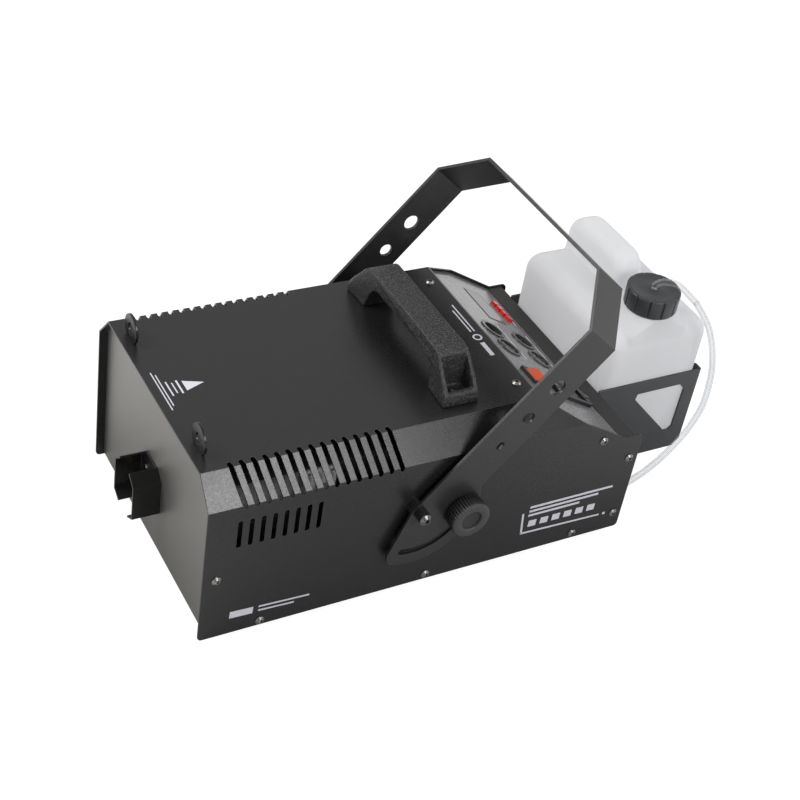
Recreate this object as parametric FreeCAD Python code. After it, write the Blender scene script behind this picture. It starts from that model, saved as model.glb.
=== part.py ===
import FreeCAD, Part
import math
import os

# Fog machine: folded sheet cover and base tray, heater with front nozzle, pump, sloping control
# panel at the rear, fluid bottle in a cradle behind, carry handle and a tilting yoke.
# Millimetres. x runs to the right as seen from the front, y from the cover's front edge to the
# rear, z up from the cover's lower edge. ORIGIN_SHIFT moves each piece at export, so that the
# origin lies on the floor at mid width and mid length.

Vec = FreeCAD.Vector
RIGHT, REAR, UP = Vec(1, 0, 0), Vec(0, 1, 0), Vec(0, 0, 1)
SIDES = (1, -1)                # right, left
os.makedirs("parts", exist_ok=True)

# ---------------------------------------------------------------- driving dimensions
WIDTH = 250.0                  # over the folded cover
HALF_W = WIDTH / 2.0
HEIGHT = 166.9                 # of the cover, without the feet
CHAMFER_X = 21.2               # chamfer, measured across the width
CHAMFER_Z = 24.5               # chamfer, measured down the side
LENGTH = 426.0                 # of the side plates
SHEET = 1.5
INNER_W = HALF_W - SHEET       # inner face of the cover's side
SLOPE_START = 314.0            # rear edge of the top plate
SLOPE_END = 406.2              # rear end of the sloping cut
SLOPE_END_Z = 113.2
FRONT_Y = 7.5                  # front face of the recessed front wall
REAR_Y = 420.2                 # rear face of the rear wall
SHELF_Z = 111.8                # top of the rear wall's flange
PANEL_DEPTH = 3.0              # of the control panel below the sloping cut
FOOT_H = 6.0
NOZZLE_X, NOZZLE_Z = -8.0, 62.0
SHROUD_REACH = 25.0            # of the nozzle shroud, forward of the front wall
CRADLE_END = 541.0             # rear end of the bottle cradle
ORIGIN_SHIFT = Vec(0, -(FRONT_Y - SHROUD_REACH + CRADLE_END) / 2, FOOT_H)

# Screws and fixing points shared by several pieces
SIDE_SCREWS = [(11.9, 66.6), (55.4, 5.6), (214.9, 6.1), (372.6, 6.4), (416.4, 19.1),
               (416.4, 87.4), (380.7, 116.6)]                                    # y, z
TOP_SCREWS = [(80.0, 303.5), (-80.0, 303.5)]                                     # x, y
CRADLE_SCREWS = [(-90.0, 92.0), (-22.0, 92.0), (45.0, 92.0), (-90.0, 34.0), (45.0, 34.0)]  # x, z
SHROUD_SCREWS = [(NOZZLE_X + dx, z) for z in (74.3, 47.5) for dx in (-8.0, 8.0)]  # x, z
FEET = [(x, y) for y in (45.0, 380.0) for x in (98.0, -98.0)]
HANDLE_Y, HANDLE_SCREW_X = 240.0, 77.0
EYE_X, EYE_Y, EYE_T = 75.5, 10.25, 2.4
EYE_FRONT = EYE_Y - EYE_T / 2
HOSE_X, HOSE_Z = 100.0, 23.0   # hose fitting in the rear wall


def polar(radius, degrees):
    return radius * math.cos(math.radians(degrees)), radius * math.sin(math.radians(degrees))


# Yoke, described by distances along the arm and across it from the pivot
PIVOT = (190.2, 95.4)          # y, z
TILT = 41.5                    # lean to the rear, degrees
SLOT_R = 45.2                  # arc slot radius about the pivot
STUD_ANGLE = 29.0              # place of the clamp stud in the arc slot
STUD_DY, STUD_DZ = polar(SLOT_R, STUD_ANGLE - TILT)
STUD = (PIVOT[0] + STUD_DY, PIVOT[1] + STUD_DZ)

pieces = {}


# ---------------------------------------------------------------- helpers
def keep(name, *shapes):
    pieces[name] = [solid for shape in shapes for solid in shape.Solids]


def box(x0, x1, y0, y1, z0, z1):
    return Part.makeBox(x1 - x0, y1 - y0, z1 - z0, Vec(x0, y0, z0))


def cyl_x(radius, length, x, y, z):
    return Part.makeCylinder(radius, length, Vec(x, y, z), RIGHT)


def cyl_y(radius, length, x, y, z):
    return Part.makeCylinder(radius, length, Vec(x, y, z), REAR)


def cyl_z(radius, length, x, y, z):
    return Part.makeCylinder(radius, length, Vec(x, y, z), UP)


def cross_hole(radius, y, z):
    """cutter through the whole width"""
    return cyl_x(radius, WIDTH + 10, -HALF_W - 5, y, z)


def side_cyl(side, radius, length, x, place):
    """cylinder that starts x from the middle and runs outwards; place is (y, z)"""
    return Part.makeCylinder(radius, length, Vec(side * x, *place), RIGHT * side)


def prism(points, extent):
    return Part.Face(Part.makePolygon(points + [points[0]])).extrude(extent)


def prism_x(x0, length, outline):
    return prism([Vec(x0, y, z) for y, z in outline], RIGHT * length)


def prism_y(y0, length, outline):
    return prism([Vec(x, y0, z) for x, z in outline], REAR * length)


def hexagon(centre, radius, axis_a, axis_b, extent):
    corners = [polar(radius, 60 * k) for k in range(6)]
    return prism([centre + axis_a * a + axis_b * b for a, b in corners], extent)


def hex_y(radius, length, x, y, z):
    return hexagon(Vec(x, y, z), radius, RIGHT, UP, REAR * length)


def fuse(shapes):
    return shapes[0].fuse(shapes[1:]).removeSplitter()


def near(value, target=0.0):
    return abs(value - target) < 1e-6


def fillet(shape, radius, pick):
    edges = [e for e in shape.Edges if pick(e)]
    return shape.makeFillet(radius, edges) if edges else shape


def runs_y(edge):
    return edge.BoundBox.YLength > 1


def runs_z(edge):
    return edge.BoundBox.ZLength > 1


def biggest(shape):
    """the largest solid, without slivers left by a cut"""
    return max(shape.Solids, key=lambda solid: solid.Volume)


def mirrored(shape):
    return shape.mirror(Vec(0, 0, 0), RIGHT)


def span(side, inner, outer):
    """x range on one side, in rising order"""
    return sorted((side * inner, side * outer))


def tube(points, radius, bore=0.0):
    """round tube along a smooth curve through the points"""
    points = [Vec(p) for p in points]
    curve = Part.BSplineCurve()
    curve.interpolate(points)
    path = Part.Wire([curve.toShape()])
    start_dir = curve.tangent(curve.FirstParameter)[0]

    def sweep(r):
        ring = Part.Wire([Part.makeCircle(r, points[0], start_dir)])
        return path.makePipeShell([ring], True, True)

    solid = sweep(radius)
    return solid.cut(sweep(bore)) if bore > 0 else solid


def button_screw(seat, out, head_r, head_h, shank_r, shank_len, socket_r, socket_deep=1.8):
    """button head screw; seat is the point under the head, out points away from the sheet"""
    rim_h = head_h * 0.35
    dome = Part.makeCone(head_r, head_r * 0.55, head_h * 0.65, seat + out * rim_h, out)
    head = Part.makeCylinder(head_r, rim_h, seat, out).fuse(dome)
    shank = Part.makeCylinder(shank_r, shank_len, seat - out * shank_len, out)
    screw = head.fuse(shank).removeSplitter()
    axis_a = (UP if abs(out.z) < 0.9 else REAR).cross(out)
    floor = seat + out * (head_h - socket_deep)
    return screw.cut(hexagon(floor, socket_r, axis_a, out.cross(axis_a), out * 3))


# ---------------------------------------------------------------- cover section and panel frame
CHAMFER_ANGLE = math.atan2(CHAMFER_Z, CHAMFER_X)
CHAMFER_DOWN = Vec(math.cos(CHAMFER_ANGLE), 0, -math.sin(CHAMFER_ANGLE))  # down the right one
CHAMFER_OUT = Vec(math.sin(CHAMFER_ANGLE), 0, math.cos(CHAMFER_ANGLE))    # out of it

SLOPE = math.atan2(HEIGHT - SLOPE_END_Z, SLOPE_END - SLOPE_START)
PANEL_OUT = Vec(0, math.sin(SLOPE), math.cos(SLOPE))
PANEL_DOWN = Vec(0, math.cos(SLOPE), -math.sin(SLOPE))


def cover_section(inset, y0, y1, floor):
    """solid section of the cover, moved inwards by inset"""
    nx, nz = CHAMFER_OUT.x, CHAMFER_OUT.z
    reach = nx * HALF_W + nz * (HEIGHT - CHAMFER_Z) - inset
    x_side = HALF_W - inset
    z_top = HEIGHT - inset
    z_side = (reach - nx * x_side) / nz
    x_top = (reach - nz * z_top) / nx
    return prism_y(y0, y1 - y0, [(-x_side, floor), (x_side, floor), (x_side, z_side),
                                 (x_top, z_top), (-x_top, z_top), (-x_side, z_side)])


def on_panel(x, down, out=0.0):
    """point on the control panel: across, down the slope, above its face"""
    edge = Vec(x, SLOPE_START, HEIGHT)
    return edge + PANEL_DOWN * down + PANEL_OUT * (out - PANEL_DEPTH)


def panel_box(x0, x1, down0, down1, out0, out1):
    corners = [(x0, down0), (x1, down0), (x1, down1), (x0, down1)]
    return prism([on_panel(x, d, out0) for x, d in corners], PANEL_OUT * (out1 - out0))


def panel_square(x, down, half, out0, out1):
    return panel_box(x - half, x + half, down - half, down + half, out0, out1)


def panel_cyl(radius, length, x, down, out):
    return Part.makeCylinder(radius, length, on_panel(x, down, out), PANEL_OUT)


# ---------------------------------------------------------------- cover shell
def cover_corner(y, z, dir_y, dir_z, radius):
    """cutter that rounds a corner of both side plates; dir_y, dir_z point into the plate"""
    ys = sorted((y, y + dir_y * radius))
    zs = sorted((z, z + dir_z * radius))
    block = box(-HALF_W - 1, HALF_W + 1, *ys, *zs)
    return block.cut(cyl_x(radius, WIDTH + 4, -HALF_W - 2, y + dir_y * radius, z + dir_z * radius))


def chamfer_vent(y0):
    """slanting slot through the right chamfer"""
    slot_w = 4.3
    depth = CHAMFER_OUT * 6
    start = Vec(HALF_W - CHAMFER_X, y0, HEIGHT) - CHAMFER_DOWN * 1.6 - depth
    end = Vec(HALF_W, y0 + 5.6, HEIGHT - CHAMFER_Z) + CHAMFER_DOWN * 0.6 - depth
    half = CHAMFER_OUT.cross(end - start)
    half.normalize()
    half = half * (slot_w / 2)
    rounds = [Part.makeCylinder(slot_w / 2, 12, p, CHAMFER_OUT) for p in (start, end)]
    return rounds + [prism([start + half, end + half, end - half, start - half], CHAMFER_OUT * 12)]


def side_vent(y, z0=99.8, z1=124.6, half=2.1):
    """upright slot through the right side"""
    return [box(HALF_W - 4, HALF_W + 2, y - half, y + half, z0, z1),
            cyl_x(half, 6, HALF_W - 4, y, z0), cyl_x(half, 6, HALF_W - 4, y, z1)]


def cover_shell():
    shell = cover_section(0, 0, LENGTH, 0).cut(cover_section(SHEET, -1, LENGTH + 1, -5))
    shell = shell.cut(prism_x(-200, 400, [
        (SLOPE_START, HEIGHT + 20), (SLOPE_START, HEIGHT), (SLOPE_END, SLOPE_END_Z),
        (LENGTH + 20, SLOPE_END_Z), (LENGTH + 20, HEIGHT + 20)]))
    shell = shell.cut([cover_corner(0, 0, 1, 1, 4.0), cover_corner(LENGTH, 0, -1, 1, 4.0),
                       cover_corner(LENGTH, SLOPE_END_Z, -1, -1, 5.0)])
    vents = []
    for i in range(15):
        vents += chamfer_vent(25.6 + 10.0 * i)
    for i in range(8):
        vents += side_vent(28.5 + 10.05 * i)
    shell = shell.cut(vents + [mirrored(v) for v in vents])

    holes = [cross_hole(2.05, y, z) for y, z in SIDE_SCREWS]
    holes += [cyl_z(2.05, 10, x, y, HEIGHT - 5) for x, y in TOP_SCREWS]
    holes += [cross_hole(3.05, *PIVOT), cross_hole(3.05, *STUD)]
    for side in SIDES:
        holes.append(cyl_z(2.55, 10, side * HANDLE_SCREW_X, HANDLE_Y, HEIGHT - 5))
    for side in SIDES:
        holes.append(box(side * EYE_X - 8.4, side * EYE_X + 8.4, EYE_FRONT,
                         EYE_Y + EYE_T / 2 + 0.1, HEIGHT - SHEET - 1, HEIGHT + 1))
    return shell.cut(holes)


keep("cover_shell", cover_shell())

# ---------------------------------------------------------------- base tray with its end walls
TRAY_Z = 2.0
FLOOR_Z = TRAY_Z + SHEET       # top of the tray floor


def base_tray():
    flange = (INNER_W - SHEET, INNER_W)
    parts = [box(-INNER_W, INNER_W, FRONT_Y, REAR_Y, TRAY_Z, FLOOR_Z)]
    for side in (-1, 1):
        parts.append(box(*span(side, *flange), FRONT_Y, REAR_Y, TRAY_Z, 24.0))
    parts.append(cover_section(SHEET, FRONT_Y, FRONT_Y + SHEET, TRAY_Z))
    for side in SIDES:
        xs = span(side, *flange)
        parts.append(box(*xs, FRONT_Y, FRONT_Y + 14, TRAY_Z, 138.0))
        parts.append(box(*xs, REAR_Y - 14, REAR_Y, TRAY_Z, SHELF_Z))
        parts.append(box(*xs, 366.0, REAR_Y, 64.0, 104.0))
    parts.append(box(-INNER_W, INNER_W, REAR_Y - SHEET, REAR_Y, TRAY_Z, SHELF_Z))
    parts.append(box(-INNER_W, INNER_W, REAR_Y - 16.2, REAR_Y, SHELF_Z - SHEET, SHELF_Z))
    # lugs that take the screws high up at the rear
    for side in SIDES:
        parts.append(prism_x(span(side, *flange)[0], SHEET,
                             [(366, 104), (366, 121.5), (386.5, 121.5), (399.5, 104)]))

    def shelf_bend(edge):
        bounds = edge.BoundBox
        return (near(bounds.YLength) and near(bounds.ZLength)
                and near(bounds.YMin, REAR_Y) and near(bounds.ZMin, SHELF_Z))

    tray = fillet(fuse(parts), 1.2, shelf_bend)
    holes = [cross_hole(1.75, y, z) for y, z in SIDE_SCREWS]
    holes.append(cyl_y(8.5, 20, NOZZLE_X, FRONT_Y - 5, NOZZLE_Z))
    holes += [cyl_y(1.55, 20, x, FRONT_Y - 5, z) for x, z in SHROUD_SCREWS]
    holes.append(cyl_y(5.05, 20, HOSE_X, REAR_Y - 10, HOSE_Z))
    holes += [cyl_z(2.05, 10, x, y, -2) for x, y in FEET]
    for i in range(9):         # floor vents
        y0 = 262.0 + i * 9.0
        holes.append(box(-30.0, 14.0, y0, y0 + 3.2, 0, 6))
    holes += [cyl_y(2.05, 20, x, REAR_Y - 10, z) for x, z in CRADLE_SCREWS]
    return tray.cut(holes)


tray = base_tray()
keep("base_tray", tray)

# ---------------------------------------------------------------- control panel
# Places on the panel are x and distance down the slope
SOCKETS = {"dmx_in_3pin": (-18.6, 33.0), "dmx_out_3pin": (10.0, 34.2),
           "dmx_in_5pin": (-19.4, 78.0), "dmx_out_5pin": (10.2, 78.6)}
SOCKET_R = 11.8
BUTTONS = [(-85.2, 86.8), (-77.0, 87.2), (-68.8, 87.6), (-60.6, 88.0)]
SWITCH_X0, SWITCH_X1, SWITCH_D0, SWITCH_D1 = 48.2, 71.4, 19.0, 41.0
INLET_X, INLET_D = 66.0, 76.0
INLET_SCREW_D = [INLET_D - 22.0, INLET_D + 22.0]
DISPLAY_X0, DISPLAY_X1, DISPLAY_D0, DISPLAY_D1 = -96.0, -46.0, 50.0, 72.0


def switch_box(inset_x, inset_d, out0, out1):
    return panel_box(SWITCH_X0 + inset_x, SWITCH_X1 - inset_x,
                     SWITCH_D0 + inset_d, SWITCH_D1 - inset_d, out0, out1)


def inlet_box(half_x, down0, down1, out0, out1, x=0.0):
    """box placed from the middle of the mains inlet"""
    return panel_box(INLET_X + x - half_x, INLET_X + x + half_x,
                     INLET_D + down0, INLET_D + down1, out0, out1)


def display_box(grow, out0, out1):
    return panel_box(DISPLAY_X0 - grow, DISPLAY_X1 + grow,
                     DISPLAY_D0 - grow, DISPLAY_D1 + grow, out0, out1)


def control_panel():
    top_z, low_z = HEIGHT - SHEET, SHELF_Z - SHEET   # undersides that the flanges lie against
    panel = panel_box(-140, 140, -14, 112, -SHEET, 0)
    panel = panel.common(cover_section(SHEET + 0.25, 200, 500, 60))
    panel = panel.common(box(-200, 200, SLOPE_START - 4.2, 407.2, 0, top_z))
    flange_y = (SLOPE_START - 22, SLOPE_START - 2)
    top_flange = cover_section(SHEET, *flange_y, 100).common(
        box(-112, 112, *flange_y, top_z - 1.4, top_z))
    panel = fuse([panel, top_flange])
    panel = panel.cut(box(-200, 200, 407.7, 500, low_z, 300))
    panel = fuse([panel, box(-121.5, 121.5, 401.6, 417.5, low_z - 1.4, low_z)])
    panel = panel.cut(box(-200, 200, 404.0, 500, low_z, 300))

    holes = [panel_cyl(SOCKET_R, 20, x, d, -10) for x, d in SOCKETS.values()]
    holes += [panel_square(x, d, 3.4, -5, 5) for x, d in BUTTONS]
    holes.append(switch_box(1.2, 1.2, -5, 5))
    holes.append(inlet_box(11.6, -19.0, 19.0, -5, 5))
    holes.append(display_box(0, -5, 5))
    holes += [cyl_z(1.75, 12, x, y, HEIGHT - 8) for x, y in TOP_SCREWS]
    holes += [cross_hole(2.6, y, z) for y, z in SIDE_SCREWS]
    holes += [panel_cyl(1.55, 12, INLET_X, d, -6) for d in INLET_SCREW_D]
    return biggest(panel.cut(holes + [tray]))


keep("control_panel", control_panel())

# ---------------------------------------------------------------- bottle cradle
CRADLE_X0, CRADLE_X1 = -104.5, 59.5
CRADLE_Z0, CRADLE_Z1 = 18.0, 113.5
CRADLE_T = 2.0                 # sheet of the cradle
LIP_T = 1.8                    # sheet of its rear lip
CRADLE_BEND_Y = 533.0          # rear end of the full-width floor
CRADLE_WINDOW = [(467.6, 92.6), (469.0, 99.0), (520.0, 99.4), (526.6, 92.5),
                 (525.6, 45.0), (521.6, 41.5), (516.6, 42.0)]     # y, z, in each side plate


def cradle_side(x0):
    plate = prism_x(x0, CRADLE_T, [
        (REAR_Y, CRADLE_Z0), (CRADLE_BEND_Y, CRADLE_Z0), (CRADLE_END, CRADLE_Z0 + 8.5),
        (CRADLE_END, CRADLE_Z1), (REAR_Y, CRADLE_Z1)])
    return plate.cut(prism_x(x0 - 1, CRADLE_T + 2, CRADLE_WINDOW))


def cradle_lip(side):
    """upright rear lip at one side, with its inner top corner rounded"""
    outer = CRADLE_X1 if side > 0 else CRADLE_X0
    inner = outer - side * 11.0
    top, radius = CRADLE_Z1 + 1.2, 3.0
    centre_x = inner + side * radius
    lip = box(*sorted((inner, outer)), CRADLE_END - LIP_T, CRADLE_END, CRADLE_Z0 + 8.5, top)
    block = box(*sorted((inner, centre_x)), CRADLE_END - 3, CRADLE_END + 1,
                top - radius, CRADLE_Z1 + 2)
    return lip.cut(block.cut(cyl_y(radius, 6, centre_x, CRADLE_END - 4, top - radius)))


def bottle_cradle():
    floor_top = CRADLE_Z0 + CRADLE_T
    cradle = fuse([
        box(CRADLE_X0, CRADLE_X1, REAR_Y, REAR_Y + CRADLE_T, CRADLE_Z0, 106.0),
        box(CRADLE_X0, CRADLE_X1, REAR_Y, CRADLE_BEND_Y, CRADLE_Z0, floor_top),
        box(CRADLE_X0 + 11.0, CRADLE_X1 - 11.0, 532.0, CRADLE_END, CRADLE_Z0, floor_top),
        box(CRADLE_X0 + 20.0, CRADLE_X1 - 20.0, CRADLE_END - LIP_T, CRADLE_END,
            CRADLE_Z0, CRADLE_Z0 + 18.0),
        cradle_side(CRADLE_X1 - CRADLE_T), cradle_side(CRADLE_X0),
        cradle_lip(1), cradle_lip(-1)])
    holes = [cyl_y(2.05, 20, x, REAR_Y - 10, z) for x, z in CRADLE_SCREWS]
    for i in range(5):         # drain slots in the floor
        x0 = -86.0 + i * 30
        holes.append(box(x0, x0 + 18, 460, 500, CRADLE_Z0 - 1, CRADLE_Z0 + 3))
    return cradle.cut(holes)


keep("bottle_cradle", bottle_cradle())
cradle_screws = [fuse([cyl_y(2.0, 9.0, x, REAR_Y + CRADLE_T - 9.0, z),
                       cyl_y(3.8, 0.6, x, REAR_Y + CRADLE_T, z)]) for x, z in CRADLE_SCREWS]
cradle_nuts = [hex_y(4.04, 3.2, x, REAR_Y - SHEET - 3.2, z).cut(cyl_y(2.0, 10, x, REAR_Y - 10, z))
               for x, z in CRADLE_SCREWS]

# ---------------------------------------------------------------- cover screws
COVER_SCREW = dict(head_r=4.2, head_h=2.3, shank_r=1.75, shank_len=7.0, socket_r=1.95)
cover_screws = [button_screw(Vec(side * HALF_W, y, z), RIGHT * side, **COVER_SCREW)
                for y, z in SIDE_SCREWS for side in SIDES]
cover_screws += [button_screw(Vec(x, y, HEIGHT), UP, **COVER_SCREW) for x, y in TOP_SCREWS]
keep("cover_screws", *cover_screws)

# ---------------------------------------------------------------- carry handle
# side view: x, height above the cover
HANDLE_OUTLINE = [
    (-92, 0), (-92, 5.5), (-89.5, 9.5), (-69.5, 36.5), (-62.0, 41.0),
    (62.0, 41.0), (69.5, 36.5), (89.5, 9.5), (92, 5.5), (92, 0),
    (62.0, 0), (57.0, 16.0), (46.0, 26.5), (-46.0, 26.5), (-57.0, 16.0), (-62.0, 0)]
# plan of the strip trimmed off each side of the strap: x, distance from the handle's middle
HANDLE_TRIM = [(-58, 13.8), (58, 13.8), (80, 17.0), (80, 30), (-80, 30), (-80, 17.0)]
# side view of the recess above each screw: x, height above the cover
HANDLE_RECESS = [(84.5, 4.0), (69.0, 4.0), (68.2, 36.5), (90.0, 60.0), (120.0, 60.0),
                 (120.0, 13.0), (84.5, 13.0)]
HANDLE_SEAT = 4.0              # screw seat above the cover


def carry_handle():
    handle = prism_y(HANDLE_Y - 17.5, 35.0, [(x, HEIGHT + h) for x, h in HANDLE_OUTLINE])
    trims = [prism([Vec(x, HANDLE_Y + side * y, HEIGHT + 8) for x, y in HANDLE_TRIM], UP * 60)
             for side in SIDES]
    handle = handle.cut(trims).removeSplitter()

    def strap_edge(edge):
        bounds = edge.BoundBox
        return bounds.ZMin > HEIGHT + 24 and near(bounds.YLength) and bounds.XLength > 60

    # guards the strap fillet: where it fails or is not sound, the edges stay sharp
    try:
        rounded = fillet(handle, 3.2, strap_edge)
        if rounded.isValid() and len(rounded.Solids) == 1:
            handle = rounded
    except Exception:
        pass
    # recessed end faces that give access to the screws
    seat_z = HEIGHT + HANDLE_SEAT
    for side in SIDES:
        block = box(*span(side, 68.0, 120.0), HANDLE_Y - 11.2, HANDLE_Y + 11.2,
                    seat_z, seat_z + 60)
        limit = prism_y(HANDLE_Y - 12, 24, [(side * x, HEIGHT + h) for x, h in HANDLE_RECESS])
        handle = handle.cut(block.common(limit))
        handle = handle.cut(cyl_z(2.55, 20, side * HANDLE_SCREW_X, HANDLE_Y, HEIGHT - 5))
    return handle


keep("carry_handle", carry_handle())
handle_screws = [button_screw(Vec(side * HANDLE_SCREW_X, HANDLE_Y, HEIGHT + HANDLE_SEAT), UP,
                              head_r=4.7, head_h=2.7, shank_r=2.5, shank_len=13.0, socket_r=2.2)
                 for side in SIDES]


# ---------------------------------------------------------------- hanging eyes
def hanging_eye(side):
    x, rear, eye_z, roof = side * EYE_X, EYE_Y + EYE_T / 2, HEIGHT + 10.2, HEIGHT - SHEET
    disc = cyl_y(13.2, EYE_T, x, EYE_FRONT, eye_z).common(
        box(-200, 200, -50, 50, HEIGHT, HEIGHT + 60))
    tab = box(x - 8.3, x + 8.3, EYE_FRONT, rear, roof - EYE_T, HEIGHT + 0.5)
    leg = box(x - 8.3, x + 8.3, EYE_FRONT, EYE_Y + 15.0, roof - EYE_T, roof)
    return fuse([disc, tab, leg]).cut(cyl_y(5.6, 6, x, EYE_FRONT - 2, eye_z))


keep("hanging_eyes", *[hanging_eye(side) for side in SIDES])

# ---------------------------------------------------------------- nozzle shroud
SHROUD_T = 1.6
# wing section: x from the nozzle, z, then the steps inwards in x and up in z to the inner line
SHROUD_WING = [(11.2, 38.4, 0.55, 1.55), (22.0, 44.6, SHROUD_T, 0.55),
               (22.0, 79.2, SHROUD_T, -0.7), (11.6, 88.2, 1.05, -1.25)]
# back plate, right half from the bottom up: x from the nozzle, z
SHROUD_BACK = [(11.0, 38.9), (21.4, 44.9), (21.4, 79.0), (11.4, 87.6)]


def shroud_wing(side):
    outer = [(NOZZLE_X + side * x, z) for x, z, dx, dz in SHROUD_WING]
    inner = [(NOZZLE_X + side * (x - dx), z + dz) for x, z, dx, dz in SHROUD_WING]
    return prism_y(FRONT_Y - SHROUD_REACH, SHROUD_REACH, outer + inner[::-1])


def nozzle_shroud():
    outline = [(NOZZLE_X + x, z) for x, z in SHROUD_BACK]
    outline += [(NOZZLE_X - x, z) for x, z in SHROUD_BACK[::-1]]
    back = prism_y(FRONT_Y - SHROUD_T, SHROUD_T, outline)
    holes = [cyl_y(8.5, 20, NOZZLE_X, FRONT_Y - 10, NOZZLE_Z)]
    holes += [cyl_y(1.55, 20, x, FRONT_Y - 10, z) for x, z in SHROUD_SCREWS]
    return fuse([shroud_wing(1), shroud_wing(-1), back]).cut(holes)


keep("nozzle_shroud", nozzle_shroud())
shroud_screws = [button_screw(Vec(x, FRONT_Y - SHROUD_T, z), REAR * -1, head_r=2.8, head_h=1.7,
                              shank_r=1.5, shank_len=5.5, socket_r=1.2, socket_deep=1.2)
                 for x, z in SHROUD_SCREWS]

# ---------------------------------------------------------------- heater and nozzle
HEATER_Y0, HEATER_Y1 = 34.0, 214.0
HEATER_HALF_X, HEATER_HALF_Z, HEATER_ROUND = 30, 27, 6.0
JACKET_T = 8                   # heater jacket thickness
ELEMENT_DX, ELEMENT_Z = 17, NOZZLE_Z - 12
ELEMENT_BORE = 150.0           # depth of the element bores
THERMOSTAT_Y, CUTOUT_Y = 150.0, 110.0
HEATER_TOP = NOZZLE_Z + HEATER_HALF_Z


def heater_bar(grow, y0, y1, radius):
    """round-edged bar about the nozzle axis, larger than the heater block by grow"""
    half_x, half_z = HEATER_HALF_X + grow, HEATER_HALF_Z + grow
    return fillet(box(NOZZLE_X - half_x, NOZZLE_X + half_x, y0, y1,
                      NOZZLE_Z - half_z, NOZZLE_Z + half_z), radius, runs_y)


def heater_block():
    block = heater_bar(0, HEATER_Y0, HEATER_Y1, HEATER_ROUND)
    block = block.cut(cyl_y(6.05, 12.0, NOZZLE_X, HEATER_Y0, NOZZLE_Z))
    block = block.cut(cyl_y(1.5, 10.0, NOZZLE_X, HEATER_Y1 - 10, NOZZLE_Z))
    for side in SIDES:
        block = block.cut(cyl_y(5.0, ELEMENT_BORE, NOZZLE_X + side * ELEMENT_DX,
                                HEATER_Y1 - ELEMENT_BORE, ELEMENT_Z))
    return block


def heating_element(side):
    x = NOZZLE_X + side * ELEMENT_DX
    return fuse([cyl_y(5.0, ELEMENT_BORE + 8, x, HEATER_Y1 - ELEMENT_BORE, ELEMENT_Z),
                 cyl_y(2.0, 10.0, x, HEATER_Y1 + 8, ELEMENT_Z)])


def nozzle():
    body = fuse([cyl_y(6.0, 12.0, NOZZLE_X, HEATER_Y0, NOZZLE_Z),
                 cyl_y(8.2, HEATER_Y0 - 4.0, NOZZLE_X, 4.0, NOZZLE_Z),
                 hex_y(7.6, 3.0, NOZZLE_X, 1.0, NOZZLE_Z),
                 Part.makeCone(4.2, 6.2, 1.5, Vec(NOZZLE_X, -0.5, NOZZLE_Z), REAR)])
    return body.cut(cyl_y(1.1, 80, NOZZLE_X, -20, NOZZLE_Z))


def heater_jacket():
    jacket = heater_bar(JACKET_T, HEATER_Y0 + 6, HEATER_Y1 - 6, 13.0)
    jacket = jacket.cut(heater_bar(0, HEATER_Y0 - 5, HEATER_Y1 + 5, HEATER_ROUND))
    jacket = jacket.cut(cyl_z(7.0, 20, NOZZLE_X, THERMOSTAT_Y, HEATER_TOP - 1))
    return jacket.cut(cyl_z(9.0, 20, NOZZLE_X, CUTOUT_Y, HEATER_TOP - 1))


def heater_band(y0):
    outer = heater_bar(JACKET_T + 0.8, y0, y0 + 10, 13.8)
    return outer.cut(heater_bar(JACKET_T, y0 - 1, y0 + 11, 13.0))


def heater_bracket(y0):
    ys = (y0, y0 + 14)
    outer, inner, jacket = 42, 40.4, HEATER_HALF_X + JACKET_T   # from the nozzle axis
    base = FLOOR_Z
    mid = NOZZLE_X
    return fuse([box(mid - outer, mid + outer, *ys, base, base + 1.6),
                 box(mid - outer, mid - inner, *ys, base, NOZZLE_Z),
                 box(mid + inner, mid + outer, *ys, base, NOZZLE_Z),
                 box(mid - inner, mid - jacket, *ys, NOZZLE_Z - 8, NOZZLE_Z),
                 box(mid + jacket, mid + inner, *ys, NOZZLE_Z - 8, NOZZLE_Z)])


def thermal_switch(y, low_r, low_h, top_r, top_h, tab_out, tab_z0, tab_z1):
    """two stacked discs on the heater block with two flat tabs; tab heights from its top"""
    x, z = NOZZLE_X, HEATER_TOP
    ys_zs = (y - 0.4, y + 0.4, z + tab_z0, z + tab_z1)
    return fuse([cyl_z(low_r, low_h, x, y, z), cyl_z(top_r, top_h, x, y, z + low_h),
                 box(x - tab_out, x - 3, *ys_zs), box(x + 3, x + tab_out, *ys_zs)])


keep("heater_block", heater_block())
keep("heating_elements", *[heating_element(side) for side in SIDES])
keep("nozzle", nozzle())
keep("heater_jacket", heater_jacket())
keep("heater_brackets", *([heater_bracket(y) for y in (70.0, 166.0)]
                          + [heater_band(y) for y in (54.0, 123.0, 184.0)]))
keep("thermal_switches",
     thermal_switch(THERMOSTAT_Y, low_r=6.9, low_h=8.0, top_r=9.5, top_h=6.0,
                    tab_out=6, tab_z0=14, tab_z1=22),
     thermal_switch(CUTOUT_Y, low_r=8.9, low_h=9.0, top_r=6.0, top_h=4.0,
                    tab_out=5, tab_z0=13, tab_z1=20))

# ---------------------------------------------------------------- heat shield, terminal block
SHIELD_X, SHIELD_T = 104, 1.2


def heat_shield():
    wall, ys, top = SHIELD_X - SHIELD_T, (16, 236), 145.2
    parts = [box(-SHIELD_X, SHIELD_X, *ys, top - SHIELD_T, top)]
    parts += [box(*span(side, wall, SHIELD_X), *ys, FLOOR_Z, top) for side in (-1, 1)]
    parts += [box(*span(side, wall, 116), *ys, FLOOR_Z, FLOOR_Z + SHIELD_T) for side in (-1, 1)]
    holes = [cyl_x(4.0, 240, -120, 40 + i * 28, z) for i in range(7) for z in (60, 84)]
    return fuse(parts).cut(holes)


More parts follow.
